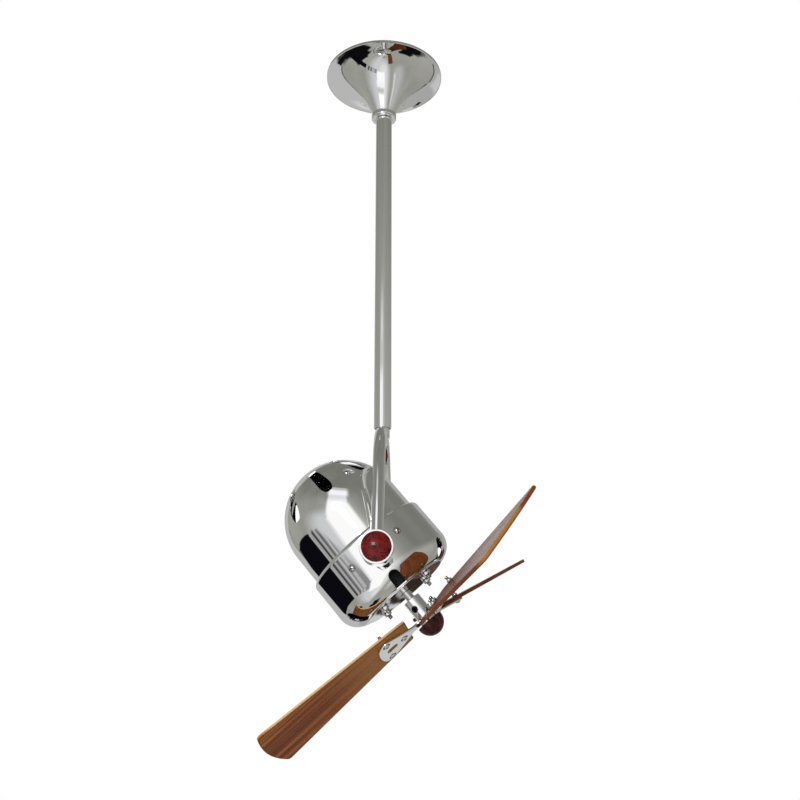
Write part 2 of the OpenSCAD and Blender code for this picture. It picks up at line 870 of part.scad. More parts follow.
// Outline about the fan axis: inner points, straight edges that spread from neck through wide, and
// an arc of radius end_r at the end, with soft corners
module flared_outline(inner, neck, wide, end_r, corner_r) {
    spread = atan2(wide.y - neck.y, wide.x - neck.x);
    inset = neck.y * cos(spread) - neck.x * sin(spread) - corner_r;
    turn = spread + asin(inset / (end_r - corner_r));
    middle = (end_r - corner_r) * [cos(turn), sin(turn)];
    edge = middle + corner_r * [-sin(spread), cos(spread)];
    tip = end_r * [cos(turn), sin(turn)];
    past = edge + 4 * corner_r * [cos(spread), sin(spread)];
    upper = concat(inner, [neck, past]);
    last = len(upper) - 1;
    difference() {
        intersection() {
            circle(r = end_r, $fn = 180);
            polygon(concat(upper, [for (i = [0:last]) flipped(upper[last - i])]));
        }
        corner_cutter(middle, edge, tip, corner_r);
        mirror([0, 1]) corner_cutter(middle, edge, tip, corner_r);
    }
}

module blade_screw_places() {
    for (y = screw_sides) translate([outer_screw_at, y * outer_screw_gap / 2, 0]) children();
    translate([inner_screw_at, 0, 0]) children();
}

module blade_bracket(k) {
    reach = (oblong_len - oblong_w) / 2;
    color("gainsboro") in_blade(k) difference() {
        linear_extrude(plate_bracket_t) flared_outline([[hub_d / 3 + fit, tang_w / 2]],
            [tang_out, tang_w / 2], [outer_screw_at, paddle_w / 2], paddle_end, paddle_corner_r);
        blade_screw_places() span(blade_screw_d + 2 * face_gap, -over, plate_bracket_t + over);
        for (x = screw_sides) translate([oblong_at + x * reach, 0, 0])
            span(oblong_w, -over, plate_bracket_t + over);
        translate([oblong_at - reach, -oblong_w / 2, -over]) cube([2 * reach, oblong_w, plate_bracket_t + 2 * over]);
    }
}

module blade_bracket_1() {
    blade_bracket(0);
}

module blade_bracket_2() {
    blade_bracket(1);
}

module blade_bracket_3() {
    blade_bracket(2);
}

module blade(k) {
    color("sienna") in_blade(k) difference() {
        translate([0, 0, -blade_t]) linear_extrude(blade_t)
            flared_outline([], [root_r, root_w / 2], [tip_r, tip_w / 2], sweep_r, tip_corner_r);
        blade_screw_places() span(blade_screw_d + 2 * face_gap, -blade_t - over, over);
    }
}

module blade_1() {
    blade(0);
}

module blade_2() {
    blade(1);
}

module blade_3() {
    blade(2);
}

blade_nut_h = 4;
blade_screw_out = 9;

module blade_screws() {
    color("gainsboro") for (k = [0:blade_count - 1]) in_blade(k) blade_screw_places()
        translate([0, 0, plate_bracket_t])
            dome_screw(blade_screw_head, 2.6, blade_screw_d, plate_bracket_t + blade_t + blade_screw_out);
}

module blade_nuts() {
    color("gainsboro") for (k = [0:blade_count - 1]) in_blade(k) blade_screw_places()
        hex_nut(1.6 * blade_screw_d, blade_screw_d + 2 * fit, -blade_t - blade_nut_h, -blade_t);
}

module finial() {
    base = 1.2;
    r = finial_d / 2;
    color("maroon") in_head() translate([0, 0, hub_front + face_gap / 2]) difference() {
        rotate_extrude() union() {
            square([r, base]);
            translate([0, base]) intersection() {
                circle(r = r);
                square(r);
            }
        }
        span(finial_stud_d + 2 * fit, -over, 12);
    }
}

module finial_stud() {
    color("silver") in_head() span(finial_stud_d, hub_front - 8.8, hub_front + 11.5);
}

ceiling_bracket();
hanger_bolt();
hanger_nut();
terminal_block();
downrod();
swivel_bush();
canopy();
canopy_collar();
collar_set_screw();
yoke_socket();
swivel_nut();
yoke_front_arm();
yoke_rear_arm();
knob_cup_front();
knob_cup_rear();
knob_cap_front();
knob_cap_rear();
rear_shell();
front_shell();
front_plate();
motor_carrier();
shell_screws();
dome_screws();
dome_stays();
motor_front_bell();
motor_rear_bell();
stator_core();
stator_windings();
motor_studs();
stud_nuts_front();
stud_nuts_rear();
front_bearing();
rear_bearing();
capacitor();
capacitor_clip();
pivot_bolt_front();
pivot_bolt_rear();
pivot_washer_front();
pivot_washer_rear();
shaft();
rotor_core();
hub();
hub_set_screw();
blade_bracket_1();
blade_bracket_2();
blade_bracket_3();
blade_1();
blade_2();
blade_3();
blade_screws();
blade_nuts();
finial();
finial_stud();
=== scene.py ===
# %% [markdown]
# # A directional ceiling fan in chrome and wood
# The fan hangs on a long tube. A yoke of two bent tubes holds a tilting motor head with three pitched
# wooden blades. The CAD model gives every piece its true place and size, so this lesson is about what
# CAD leaves out: screw threads and recesses, softened wooden edges, wood grain, polished metal, and the
# studio that the metal mirrors. The first cell loads the CAD model.

# %% Load the frame
import json
import math

import bmesh
import bpy
from mathutils import Matrix, Vector


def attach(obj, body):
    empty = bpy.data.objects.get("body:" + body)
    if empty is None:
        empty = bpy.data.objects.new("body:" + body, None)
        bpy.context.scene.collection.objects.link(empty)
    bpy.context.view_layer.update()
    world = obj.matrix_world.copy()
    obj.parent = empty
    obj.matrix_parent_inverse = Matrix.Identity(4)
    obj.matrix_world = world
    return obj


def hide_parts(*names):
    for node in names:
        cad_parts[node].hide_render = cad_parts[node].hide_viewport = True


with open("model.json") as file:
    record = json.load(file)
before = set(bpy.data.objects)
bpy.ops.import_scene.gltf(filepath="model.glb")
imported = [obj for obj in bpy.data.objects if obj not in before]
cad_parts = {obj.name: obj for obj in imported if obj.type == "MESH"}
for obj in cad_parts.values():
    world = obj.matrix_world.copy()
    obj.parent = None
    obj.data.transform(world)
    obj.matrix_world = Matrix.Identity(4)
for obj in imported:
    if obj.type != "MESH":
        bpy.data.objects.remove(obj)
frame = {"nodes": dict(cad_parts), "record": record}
nodes = frame["nodes"]
scene = bpy.context.scene
MM = 0.001
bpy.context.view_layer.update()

# %% [markdown]
# ## The camera
# The photograph was taken from below the head's height, looking up at about 19 degrees. Its place was
# found by fitting a camera to points that are easy to find in the photograph, such as the rim of the
# canopy, the edges of the rod and the corners of the blades. A camera needs a place, a direction,
# a roll and a focal length. The focal length in pixels becomes millimetres on a 36 mm sensor.

# %% Place the camera
CAMERA_PLACE = Vector((0.0704, -1.3444, -1.0169))
CAMERA_YAW = -0.0335
CAMERA_PITCH = 0.3266
CAMERA_ROLL = -0.0016
FOCAL_PIXELS = 970.24
FRAME_PIXELS = 800

look = Vector((
    math.cos(CAMERA_PITCH) * math.sin(CAMERA_YAW),
    math.cos(CAMERA_PITCH) * math.cos(CAMERA_YAW),
    math.sin(CAMERA_PITCH),
))
level = Vector((math.cos(CAMERA_YAW), -math.sin(CAMERA_YAW), 0.0))
upward = level.cross(look)
right = math.cos(CAMERA_ROLL) * level + math.sin(CAMERA_ROLL) * upward
upward = -math.sin(CAMERA_ROLL) * level + math.cos(CAMERA_ROLL) * upward


def put(name, data):
    """A new object in the scene."""
    made = bpy.data.objects.new(name, data)
    scene.collection.objects.link(made)
    return made


lens = bpy.data.cameras.new("camera")
lens.sensor_width = 36.0
lens.lens = FOCAL_PIXELS * lens.sensor_width / FRAME_PIXELS
camera = put("camera", lens)
turned = Matrix((right, upward, -look)).transposed().to_4x4()
camera.matrix_world = Matrix.Translation(CAMERA_PLACE) @ turned
scene.camera = camera
print("focal length", round(lens.lens, 2), "mm")

# %% [markdown]
# ## The studio
# Polished metal shows hardly any colour of its own: it shows the room. The photograph's chrome mirrors
# a pale grey room, a tall white screen in front, and dark gaps to the lower left and lower right. All
# that is far away belongs to the world. A small node group makes one soft-edged panel from a
# direction's azimuth and elevation, and the world stacks a few panels. Camera rays skip them and see
# plain white. The helpers below keep each node, with its settings and its inputs, on one line.

# %% Helpers for node trees
def fill(node, **inputs):
    """Links or fills inputs by name, where _ is a space, or by number, where i0 is the first one."""
    for key, value in inputs.items():
        numbered = key[0] == "i" and key[1:].isdigit()
        socket = node.inputs[int(key[1:]) if numbered else key.replace("_", " ")]
        if isinstance(value, bpy.types.NodeSocket):
            node.id_data.links.new(value, socket)
        elif socket.type == "RGBA" and len(value) == 3:
            socket.default_value = (*value, 1.0)
        else:
            socket.default_value = value
    return node


def add_node(tree, kind, settings=None, **inputs):
    """Adds a node, sets its properties, and links or fills its inputs."""
    node = tree.nodes.new(kind)
    for key, value in (settings or {}).items():
        setattr(node, key, value)
    return fill(node, **inputs)


def result(tree, kind, settings=None, **inputs):
    """The first output of a new node."""
    return add_node(tree, kind, settings, **inputs).outputs[0]


def tree_of(*values):
    """The tree of the first socket among some values."""
    return next(value.id_data for value in values if isinstance(value, bpy.types.NodeSocket))


def maths(operation, a, b=0.0, c=0.0, clamp=False):
    """The result of one Math node."""
    settings = {"operation": operation, "use_clamp": clamp}
    return result(tree_of(a, b), "ShaderNodeMath", settings, i0=a, i1=b, i2=c)


def times(a, b, clamp=False):
    """The product of two numbers."""
    return maths("MULTIPLY", a, b, clamp=clamp)


def plus(a, b):
    """The sum of two numbers."""
    return maths("ADD", a, b)


def less(a, b, clamp=False):
    """The first number less the second."""
    return maths("SUBTRACT", a, b, clamp=clamp)


def vector_maths(operation, **inputs):
    """The vector from one Vector Math node."""
    return result(tree_of(*inputs.values()), "ShaderNodeVectorMath", {"operation": operation}, **inputs)


def map_range(value, start, end, first=0.0, last=1.0, kind="LINEAR"):
    """Takes a value from one range to another, and holds it at both ends."""
    return result(value.id_data, "ShaderNodeMapRange", {"interpolation_type": kind},
                  Value=value, i1=start, i2=end, i3=first, i4=last)


def soft_range(value, start, end, first=0.0, last=1.0):
    """The same, with a gentle start and end."""
    return map_range(value, start, end, first, last, "SMOOTHSTEP")


def noise(place, scale, detail, roughness=0.5, distortion=0.0):
    """A grey noise."""
    return result(place.id_data, "ShaderNodeTexNoise", Vector=place, Scale=scale, Detail=detail,
                  Roughness=roughness, Distortion=distortion)


def blend_colours(mask, first, second):
    """A mix of two colours by a mask."""
    mix = add_node(mask.id_data, "ShaderNodeMix", {"data_type": "RGBA"}, i0=mask, i6=first, i7=second)
    return mix.outputs[2]


def object_place(tree):
    """Object coordinates, which stay with a piece when it moves."""
    return add_node(tree, "ShaderNodeTexCoord").outputs["Object"]


def attribute(tree, name, output="Fac"):
    """What a grown piece stores on its points or faces."""
    return add_node(tree, "ShaderNodeAttribute", {"attribute_name": name}).outputs[output]


def new_material(name):
    """A material with its tree and its main shader."""
    made = bpy.data.materials.new(name)
    made.use_nodes = True
    return made, made.node_tree, made.node_tree.nodes["Principled BSDF"]


def new_group(name, kind, inputs, outputs):
    """A node group with its sockets. An input has a start value, or names the type of its socket."""
    group = bpy.data.node_groups.new(name, kind)
    for title, start in inputs.items():
        of_value = {float: "Float", int: "Int", tuple: "Color"}.get(type(start))
        socket = "NodeSocket" + (of_value or start)
        made = group.interface.new_socket(title, in_out="INPUT", socket_type=socket)
        if of_value:
            made.default_value = (*start, 1.0) if of_value == "Color" else start
    for title, socket in outputs.items():
        group.interface.new_socket(title, in_out="OUTPUT", socket_type="NodeSocket" + socket)
    return group, group.nodes.new("NodeGroupInput").outputs, group.nodes.new("NodeGroupOutput")


# %% A soft-edged panel
panel, into, out = new_group("studio_panel", "ShaderNodeTree", {
    "Azimuth": 0.0, "Elevation": 0.0, "Left": -20.0, "Right": 20.0, "Low": -20.0, "High": 20.0,
    "Soft": 4.0, "Soft Height": 4.0,
}, {"Mask": "Float"})


def ramp_between(value, edge, soft, rising):
    """0 to 1 over a soft edge centred on a value."""
    half = times(soft, 0.5)
    low, high = less(edge, half), plus(edge, half)
    return soft_range(value, *((low, high) if rising else (high, low)))


sides = times(ramp_between(into["Azimuth"], into["Left"], into["Soft"], True),
              ramp_between(into["Azimuth"], into["Right"], into["Soft"], False))
heights = times(ramp_between(into["Elevation"], into["Low"], into["Soft Height"], True),
                ramp_between(into["Elevation"], into["High"], into["Soft Height"], False))
fill(out, Mask=times(sides, heights))
print("panel group:", len(panel.nodes), "nodes")

# %% A stack of panels
PANEL_EDGES = ("Left", "Right", "Low", "High", "Soft", "Soft_Height")
RADIAN = 57.2958  # in degrees


def panel_mask(title, azimuth, height, *edges):
    """1 inside a panel, and 0 outside."""
    return result(azimuth.id_data, "ShaderNodeGroup", {"node_tree": panel, "label": title},
                  Azimuth=azimuth, Elevation=height, **dict(zip(PANEL_EDGES, edges)))


def stack_panels(azimuth, height, base, panels):
    """Lays panels over a base colour. Each is a title, its six edge values, and a grey or a colour."""
    for title, *edges, colour in panels:
        tone = colour if isinstance(colour, tuple) else (colour,) * 3
        base = blend_colours(panel_mask(title, azimuth, height, *edges), base, tone)
    return base


def azimuth_of(place):
    """The azimuth of a direction or a place, in degrees: 0 is the camera's side, right is positive."""
    return times(maths("ARCTAN2", place["X"], times(place["Y"], -1.0)), RADIAN)


# %% The world as a room
# Each panel: left, right, low and high edge in degrees, softness of the sides and of the ends, grey.
BLACK = 0.004
PANELS = [
    ("glow left of the screen", -62, -20, -90, 4, 50, 24, (0.61, 0.62, 0.64)),
    ("glow right of the screen", -24, 24, -80, 18, 36, 30, (0.74, 0.75, 0.76)),
    ("glow of the window", 50, 84, -64, -2, 30, 12, 0.46),
    ("window, far right", 49, 57, -56, -6, 5, 8, 0.64),
    ("far wall, left end", -182, -132, -50, 40, 1.5, 12, 0.48),
    ("far wall, right end", 149.5, 182, -50, 40, 1.5, 12, 0.385),
    ("brighter wall, low right", 154, 172, -36, -18, 6, 6, 0.55),
    ("upper wall behind, left", -182, -166, 4, 38, 8, 10, 0.62),
    ("left corner of the room", -133.2, -131.6, -44, 2, 0.9, 3, 0.1),
    ("right corner of the room", 148.4, 150, -44, 2, 0.9, 3, 0.1),
    ("doorway behind", 170.2, 173.65, -6, 0, 0.3, 1, (0.03, 0.02, 0.016)),
    ("gap in the doorway", 172.85, 173.2, -6, 0, 0.2, 1, 0.32),
    ("light wall past the doorway", 173.65, 178, -6, 0, 0.3, 1, 0.58),
    ("post in front of it", 174, 174.35, -6, 0, 0.2, 1, 0.03),
]
# These have ragged edges, because noise shifts their heights by up to half of RAGGED, in degrees.
RAGGED = 22.0
DARK_GAPS = [
    ("lowest, left", -152, -99, -74, -57, 5, 3, BLACK),
    ("middle, left", -149, -129, -62, -51, 5, 5, BLACK),
    ("top, left", -142, -133, -54, -45, 4, 4, BLACK),
    ("lowest, right", 124, 162, -74, -62, 5, 3, BLACK),
    ("middle, right", 136, 158, -66, -57, 5, 5, BLACK),
]
WALL_GREY, CEILING_GREY, ROOM_TINT = 0.325, 0.2, (1.0, 1.0, 0.915)
WALL_TOP, CEILING_START = 12.0, 46.0
world = bpy.data.worlds.new("studio")
scene.world = world
world.use_nodes = True
room = world.node_tree
room.nodes.clear()
ray = add_node(room, "ShaderNodeLightPath").outputs
sky_way = add_node(room, "ShaderNodeTexCoord").outputs["Generated"]
direction = add_node(room, "ShaderNodeSeparateXYZ", Vector=sky_way).outputs
turn_of = azimuth_of(direction)
elevation = times(maths("ARCSINE", direction["Z"]), RADIAN)
uneven = map_range(noise(sky_way, 1.6, 2.0), 0.3, 0.7, 0.88, 1.12)
grey = soft_range(elevation, WALL_TOP, CEILING_START, WALL_GREY, CEILING_GREY)
plain_room = vector_maths("SCALE", i0=ROOM_TINT, Scale=times(uneven, grey))
mirrored = stack_panels(turn_of, elevation, plain_room, PANELS)
ragged = less(noise(sky_way, 5.0, 2.0), 0.5)
ragged_height = plus(elevation, times(ragged, RAGGED))
mirrored = stack_panels(turn_of, ragged_height, mirrored, DARK_GAPS)
mirror_light = result(room, "ShaderNodeBackground", Color=mirrored, Strength=1.0)
soft_light = result(room, "ShaderNodeBackground", Color=(0.95, 0.97, 1.0), Strength=0.75)
paper = result(room, "ShaderNodeBackground", Color=(1.0, 1.0, 1.0), Strength=1.0)
lit = result(room, "ShaderNodeMixShader", Fac=ray["Is Glossy Ray"], i1=soft_light, i2=mirror_light)
seen = result(room, "ShaderNodeMixShader", Fac=ray["Is Camera Ray"], i1=lit, i2=paper)
add_node(room, "ShaderNodeOutputWorld", Surface=seen)
print("room:", len(PANELS) + len(DARK_GAPS), "panels")

# %% [markdown]
# ## Near cards: two screens and two stands
# The world is infinitely far, so every part of the fan sees its panels at the same angle. The white
# screen stands only 1.2 m away: the rod shows its upper edge, and the canopy sees the whole height.
# Two stands at the lower left and a small screen in front are nearer still. All four are curved cards
# that only mirror rays see, so they hide nothing and light nothing. The same panel group paints them,
# with heights in centimetres.

# %% Curved cards
CARD_STEPS = 32


def add_card(name, distance, turns, heights, soft, base, panels):
    """Part of a cylinder about the rod, painted with panels and faded out at its edges."""
    mesh = bpy.data.meshes.new(name)
    shape = bmesh.new()
    span = turns[1] - turns[0]
    angles = [math.radians(turns[0] + span * i / CARD_STEPS) for i in range(CARD_STEPS + 1)]
    circle = [(distance * math.sin(angle), -distance * math.cos(angle)) for angle in angles]
    low, high = ([shape.verts.new((x, y, height * 0.01)) for x, y in circle] for height in heights)
    for i in range(CARD_STEPS):
        shape.faces.new((low[i], low[i + 1], high[i + 1], high[i]))
    shape.to_mesh(mesh)
    shape.free()
    paint, tree, _ = new_material(name + "_paint")
    tree.nodes.clear()
    place = add_node(tree, "ShaderNodeSeparateXYZ", Vector=object_place(tree)).outputs
    azimuth, height = azimuth_of(place), times(place["Z"], 100.0)
    painted = stack_panels(azimuth, height, base, panels)
    mask = panel_mask("edges", azimuth, height, turns[0] + soft[0] / 2, turns[1] - soft[0] / 2,
                      heights[0] + soft[1] / 2, heights[1] - soft[1] / 2, *soft)
    clear = result(tree, "ShaderNodeBsdfTransparent")
    glow = result(tree, "ShaderNodeEmission", Color=painted, Strength=1.0)
    shown = result(tree, "ShaderNodeMixShader", Fac=mask, i1=clear, i2=glow)
    add_node(tree, "ShaderNodeOutputMaterial", Surface=shown)
    mesh.materials.append(paint)
    card = put(name, mesh)
    for kind in ("camera", "diffuse", "transmission", "shadow"):
        setattr(card, "visible_" + kind, False)
    print(name, "with", len(panels), "panels")


# Each card: distance in metres, its turns and heights, its two softnesses, its colour and its panels.
add_card("white_screen", 1.2, (-34, 8), (-230, 26), (6, 30), (0.72, 0.74, 0.78), [
    ("bright part", -60, 30, -300, -20, 4, 30, 1),
    ("lamp behind the screen", -19, -7, -56, -32, 6, 10, 18),
])
add_card("dark_stand", 0.64, (-130, -73.5), (-128, -98), (1.5, 2), (0.003, 0.003, 0.005), [])
add_card("striped_stand", 0.64, (-74.5, -31), (-128, -94), (1.5, 5), (0.25, 0.25, 0.255), [
    ("pale edge", -90, -68, -140, -80, 1.5, 1, 0.37),
    ("pole", -66.5, -63, -140, -80, 1.5, 1, 0.04),
    ("first pale strip", -61, -58.5, -140, -80, 1.5, 1, 0.42),
    ("shadow between the strips", -57, -54, -140, -80, 1.5, 1, 0.12),
    ("second pale strip", -52, -49, -140, -80, 2, 1, 0.5),
    ("third pale strip", -46, -40.5, -140, -80, 3, 1, 0.46),
])
add_card("small_screen", 0.45, (-38, 8), (-51, -25), (10, 6), (0.93, 0.94, 0.98), [
    ("dimmer top", -60, 30, -36, -20, 4, 6, 0.55),
])

# %% [markdown]
# ## Floor and lamps
# A wide pale floor far below gives the fan a soft shadow in views from above. A little light of its
# own, which only the camera sees, makes it as white as the paper behind. It is left out of mirror
# rays, because the room that the chrome shows is the world's. Two large lamps light the wood from
# the front left and the right.

# %% Floor and lamps
scene.view_settings.view_transform = "Standard"
FLOOR_DROP = 1.75
FLOOR_RADIUS = 5.0
FLOOR_GLOW = 0.3
FAN_MIDDLE = (0.0, 0.0, -0.8)
floor_mesh = bpy.data.meshes.new("floor")
shape = bmesh.new()
bmesh.ops.create_circle(shape, cap_ends=True, radius=FLOOR_RADIUS, segments=96)
bmesh.ops.translate(shape, verts=shape.verts, vec=(0.0, 0.0, -FLOOR_DROP))
shape.to_mesh(floor_mesh)
shape.free()
floor = put("floor", floor_mesh)
floor.visible_glossy = False
paint, tree, shader = new_material("floor_paint")
seen_floor = add_node(tree, "ShaderNodeLightPath").outputs["Is Camera Ray"]
fill(shader, Base_Color=(0.93, 0.93, 0.93), Roughness=0.9, Emission_Color=(1.0, 1.0, 1.0),
     Emission_Strength=times(seen_floor, FLOOR_GLOW))
floor_mesh.materials.append(paint)


def add_lamp(name, place, width, height, power):
    """A rectangular lamp that points at the fan's middle, and stays out of mirror rays."""
    data = bpy.data.lights.new(name, "AREA")
    data.shape = "RECTANGLE"
    data.size, data.size_y, data.energy = width, height, power
    lamp = put(name, data)
    lamp.location = place
    lamp.rotation_mode = "QUATERNION"
    lamp.rotation_quaternion = (Vector(FAN_MIDDLE) - Vector(place)).to_track_quat("-Z", "Y")
    lamp.visible_glossy = False


add_lamp("front_screen", (-0.9, -2.2, -0.3), 1.4, 2.0, 34.0)
add_lamp("right_fill", (2.2, -0.8, 0.2), 1.2, 1.6, 16.0)
print("floor at", -FLOOR_DROP, "m")

# %% [markdown]
# ## Polished and plated metal
# Fresh chrome is almost a perfect mirror, but handling leaves faint smudges, and a spun or bent shell
# is never quite smooth. Both effects are needed on every metal of this fan, so they are one node
# group with a base roughness, a smudge amount and a wave height. Object coordinates keep the pattern
# fixed in the metal when the head tilts.

# %% The handled metal group
handled, into, out = new_group("handled_metal", "ShaderNodeTree", {
    "Roughness": 0.03, "Smudge": 0.05, "Smudge Size": 24.0, "Wave": 0.1,
}, {"Roughness": "Float", "Normal": "Vector"})
spot = object_place(handled)
smear = map_range(noise(spot, into["Smudge Size"], 5.0, 0.62), 0.45, 0.78)
wave = noise(spot, 14.0, 1.0)
fill(out, Roughness=maths("MULTIPLY_ADD", smear, into["Smudge"], into["Roughness"]),
     Normal=result(handled, "ShaderNodeBump", Strength=into["Wave"], Distance=0.001, Height=wave))
print("handled metal group ready")


# %% Metals
CHROME = (0.955, 0.955, 0.95)
# The colour of painted shade in threads, recesses and round screw heads.
SHADE_BLACK = (0.02, 0.019, 0.018)


def metal(name, colour, roughness, smudge, wave, size=24.0, metallic=1.0):
    """A metal material with the handled metal group."""
    made, tree, shader = new_material(name)
    group = add_node(tree, "ShaderNodeGroup", {"node_tree": handled}, Roughness=roughness,
                     Smudge=smudge, Smudge_Size=size, Wave=wave).outputs
    fill(shader, Base_Color=colour, Metallic=metallic, Roughness=group["Roughness"],
         Normal=group["Normal"])
    return made


def paint_shade_on(material, mask, share=1.0):
    """Darkens and dulls a metal where a mask is 1, with painted shade in threads, recesses and round
    screw heads.
    """
    shader = material.node_tree.nodes["Principled BSDF"]
    clean = tuple(shader.inputs["Base Color"].default_value)
    smooth = shader.inputs["Roughness"].links[0].from_socket
    amount = times(mask, share, clamp=True)
    fill(shader, Base_Color=blend_colours(amount, clean, SHADE_BLACK),
         Roughness=maths("MULTIPLY_ADD", amount, 0.4, smooth))


def ring_mask(place, centres, inner, outer):
    """1 round each centre as far as the inner radius, and 0 from the outer one, in millimetres."""
    total = 0.0
    for centre in centres:
        gap = vector_maths("DISTANCE", i0=place, i1=tuple(centre)).node.outputs["Value"]
        total = maths("MAXIMUM", soft_range(gap, outer * MM, inner * MM), total)
    return total


METALS = {
    "polished_chrome": metal("polished_chrome", CHROME, 0.012, 0.05, 0.12),
    "plated_fasteners": metal("bright_nickel_plate", (0.78, 0.78, 0.77), 0.03, 0.1, 0.0, 90.0),
    "plated_steel": metal("zinc_plate", (0.55, 0.56, 0.58), 0.3, 0.2, 0.1, 60.0),
    "ground_steel": metal("ground_steel", (0.72, 0.72, 0.73), 0.16, 0.1, 0.0, 80.0),
    "laminated_steel": metal("lamination_steel", (0.16, 0.16, 0.17), 0.45, 0.2, 0.2, 60.0),
    # The casting inside the head is near black: painted shade for the head's dark inside.
    "cast_aluminium": metal("shade_dark_casting", (0.012, 0.012, 0.014), 0.55, 0.2, 0.4, 120.0, 0.0),
    "bronze": metal("bush_bronze", (0.55, 0.36, 0.15), 0.28, 0.15, 0.1, 80.0),
    "copper_winding": metal("lacquered_copper", (0.42, 0.16, 0.06), 0.32, 0.15, 0.3, 150.0),
}
fastener_plate = METALS["plated_fasteners"]
# Painted shade in the threads, recesses and bores that the fastener trees mark.
paint_shade_on(fastener_plate, attribute(fastener_plate.node_tree, "recess_shade"))
finish_of = {entry["node"]: entry["material_slot"] for entry in frame["record"]["subparts"]}


def dress(node, material):
    """Gives a CAD node its material."""
    nodes[node].data.materials.clear()
    nodes[node].data.materials.append(material)


def finish_nodes(slot_name, material):
    """Dresses every CAD node of one finish, and counts them."""
    same = [name for name, title in finish_of.items() if title == slot_name]
    for name in same:
        dress(name, material)
    return len(same)


for slot_name, material in METALS.items():
    print(slot_name, finish_nodes(slot_name, material), "nodes")

# %% [markdown]
# ## Where the head and the blades are
# The motor head is tilted in the yoke, and each blade is turned, pitched and leant a little forward
# on the fan axis. New pieces are made flat at the origin, which is simple, and are then moved as a
# whole by one matrix. The angles and distances repeat those of the CAD model.

# %% Frames of the head and the blades
PIVOT_HEIGHT = -801.0 * MM
HEAD_LEAN = -40.0
BLADE_TURN = 59.6
BLADE_PITCH = 13.9
BLADE_LEAN = 0.7
BLADE_PLANE = 93.4 * MM


def turned_about(axis, degrees):
    """A rotation matrix."""
    return Matrix.Rotation(math.radians(degrees), 4, axis)


head_place = (Matrix.Translation((0.0, 0.0, PIVOT_HEIGHT)) @ turned_about("Y", HEAD_LEAN)
              @ Matrix.Rotation(math.pi, 4, "X"))


def blade_place(number):
    """Takes a flat blade to its place. Its X runs outwards, and Z = 0 is where the bracket lies."""
    return (head_place @ turned_about("Z", BLADE_TURN + 120.0 * number)
            @ Matrix.Translation((0.0, 0.0, BLADE_PLANE))
            @ turned_about("X", BLADE_PITCH) @ turned_about("Y", -BLADE_LEAN))


fan_axis = head_place.to_3x3() @ Vector((0.0, 0.0, 1.0))
print("fan axis points at", [round(v, 3) for v in fan_axis])

# %% [markdown]
# ## Growing pieces with Geometry Nodes
# Blades and brackets are flat plates whose edge follows an outline, and the screws, nuts and threads
# repeat. Both are what Geometry Nodes are for: a tree states the rule once, its inputs are the sizes,
# and each piece is one run of the tree. The helper below runs a tree on a base mesh, keeps the result
# as a plain mesh, welds it, turns its faces outwards and moves it to its place.

# %% Run a tree and keep a plain mesh
WELD = 0.001 * MM


def grow(name, tree, base, finish, place, smooth_below, **sizes):
    """Grows a piece from a base mesh. smooth_below is the largest angle that is shaded smooth."""
    seed = put(name + "_seed", base)
    modifier = seed.modifiers.new("shape", "NODES")
    modifier.node_group = tree
    entries = [item for item in tree.interface.items_tree if item.in_out == "INPUT"]
    sockets = {item.name: item.identifier for item in entries}
    for title, value in sizes.items():
        modifier[sockets[title.replace("_", " ")]] = value
    modifier[sockets["Finish"]] = finish
    mesh = bpy.data.meshes.new_from_object(seed.evaluated_get(bpy.context.evaluated_depsgraph_get()))
    bpy.data.objects.remove(seed)
    mesh.name = name
    shape = bmesh.new()
    shape.from_mesh(mesh)
    bmesh.ops.remove_doubles(shape, verts=shape.verts, dist=WELD)
    bmesh.ops.recalc_face_normals(shape, faces=shape.faces)
    shape.to_mesh(mesh)
    shape.free()
    if smooth_below:
        mesh.shade_smooth()
        mesh.set_sharp_from_angle(angle=math.radians(smooth_below))
    mesh.transform(place)
    piece = put(name, mesh)
    print(name, len(mesh.polygons), "faces")
    return piece


# %% Helpers for geometry trees
def named(tree, name, kind):
    """A named attribute, from the output that its type leaves in use."""
    node = add_node(tree, "GeometryNodeInputNamedAttribute", {"data_type": kind}, Name=name)
    return next(socket for socket in node.outputs if socket.enabled)


def join(*parts):
    """Joins the geometry of several nodes."""
    node = add_node(parts[0].id_data, "GeometryNodeJoinGeometry")
    for part in parts:
        fill(node, i0=part)
    return node.outputs[0]


def triple(tree, x=0.0, y=0.0, z=0.0):
    """A vector from three numbers or sockets."""
    return result(tree, "ShaderNodeCombineXYZ", X=x, Y=y, Z=z)


def moved(part, z=0.0, turn=0.0):
    """Geometry that is shifted along Z, and turned about Z."""
    tree = part.id_data
    return result(tree, "GeometryNodeTransform", Geometry=part, Translation=triple(tree, z=z),
                  Rotation=(0.0, 0.0, turn))


def marked(part, name, value):
    """Stores a number on every face of a part."""
    settings = {"data_type": "FLOAT", "domain": "FACE"}
    return result(part.id_data, "GeometryNodeStoreNamedAttribute", settings,
                  Geometry=part, Name=name, Value=value)


def join_marked(name, parts):
    """Joins parts that each store their own number."""
    return join(*[marked(part, name, value) for part, value in parts])


def finished(part, into, out):
    """The end of every tree: real geometry with its material."""
    tree = part.id_data
    real = result(tree, "GeometryNodeRealizeInstances", Geometry=part)
    fill(out, i0=result(tree, "GeometryNodeSetMaterial", Geometry=real, Material=into["Finish"]))
    print(tree.name, "has", len(tree.nodes), "nodes")
    return tree


# %% [markdown]
# ## A plate with a rounded edge
# A sanded blade has a soft edge all round, and so has a stamped bracket. The plate is made from its
# outline: the section of a rounded edge is swept along the outline, and the flat faces fill the inset
# outline. Holes are outlines that run the other way round. The tree also stores each point's place on
# the flat plate, so that the grain stays with the wood, and marks the edge faces.

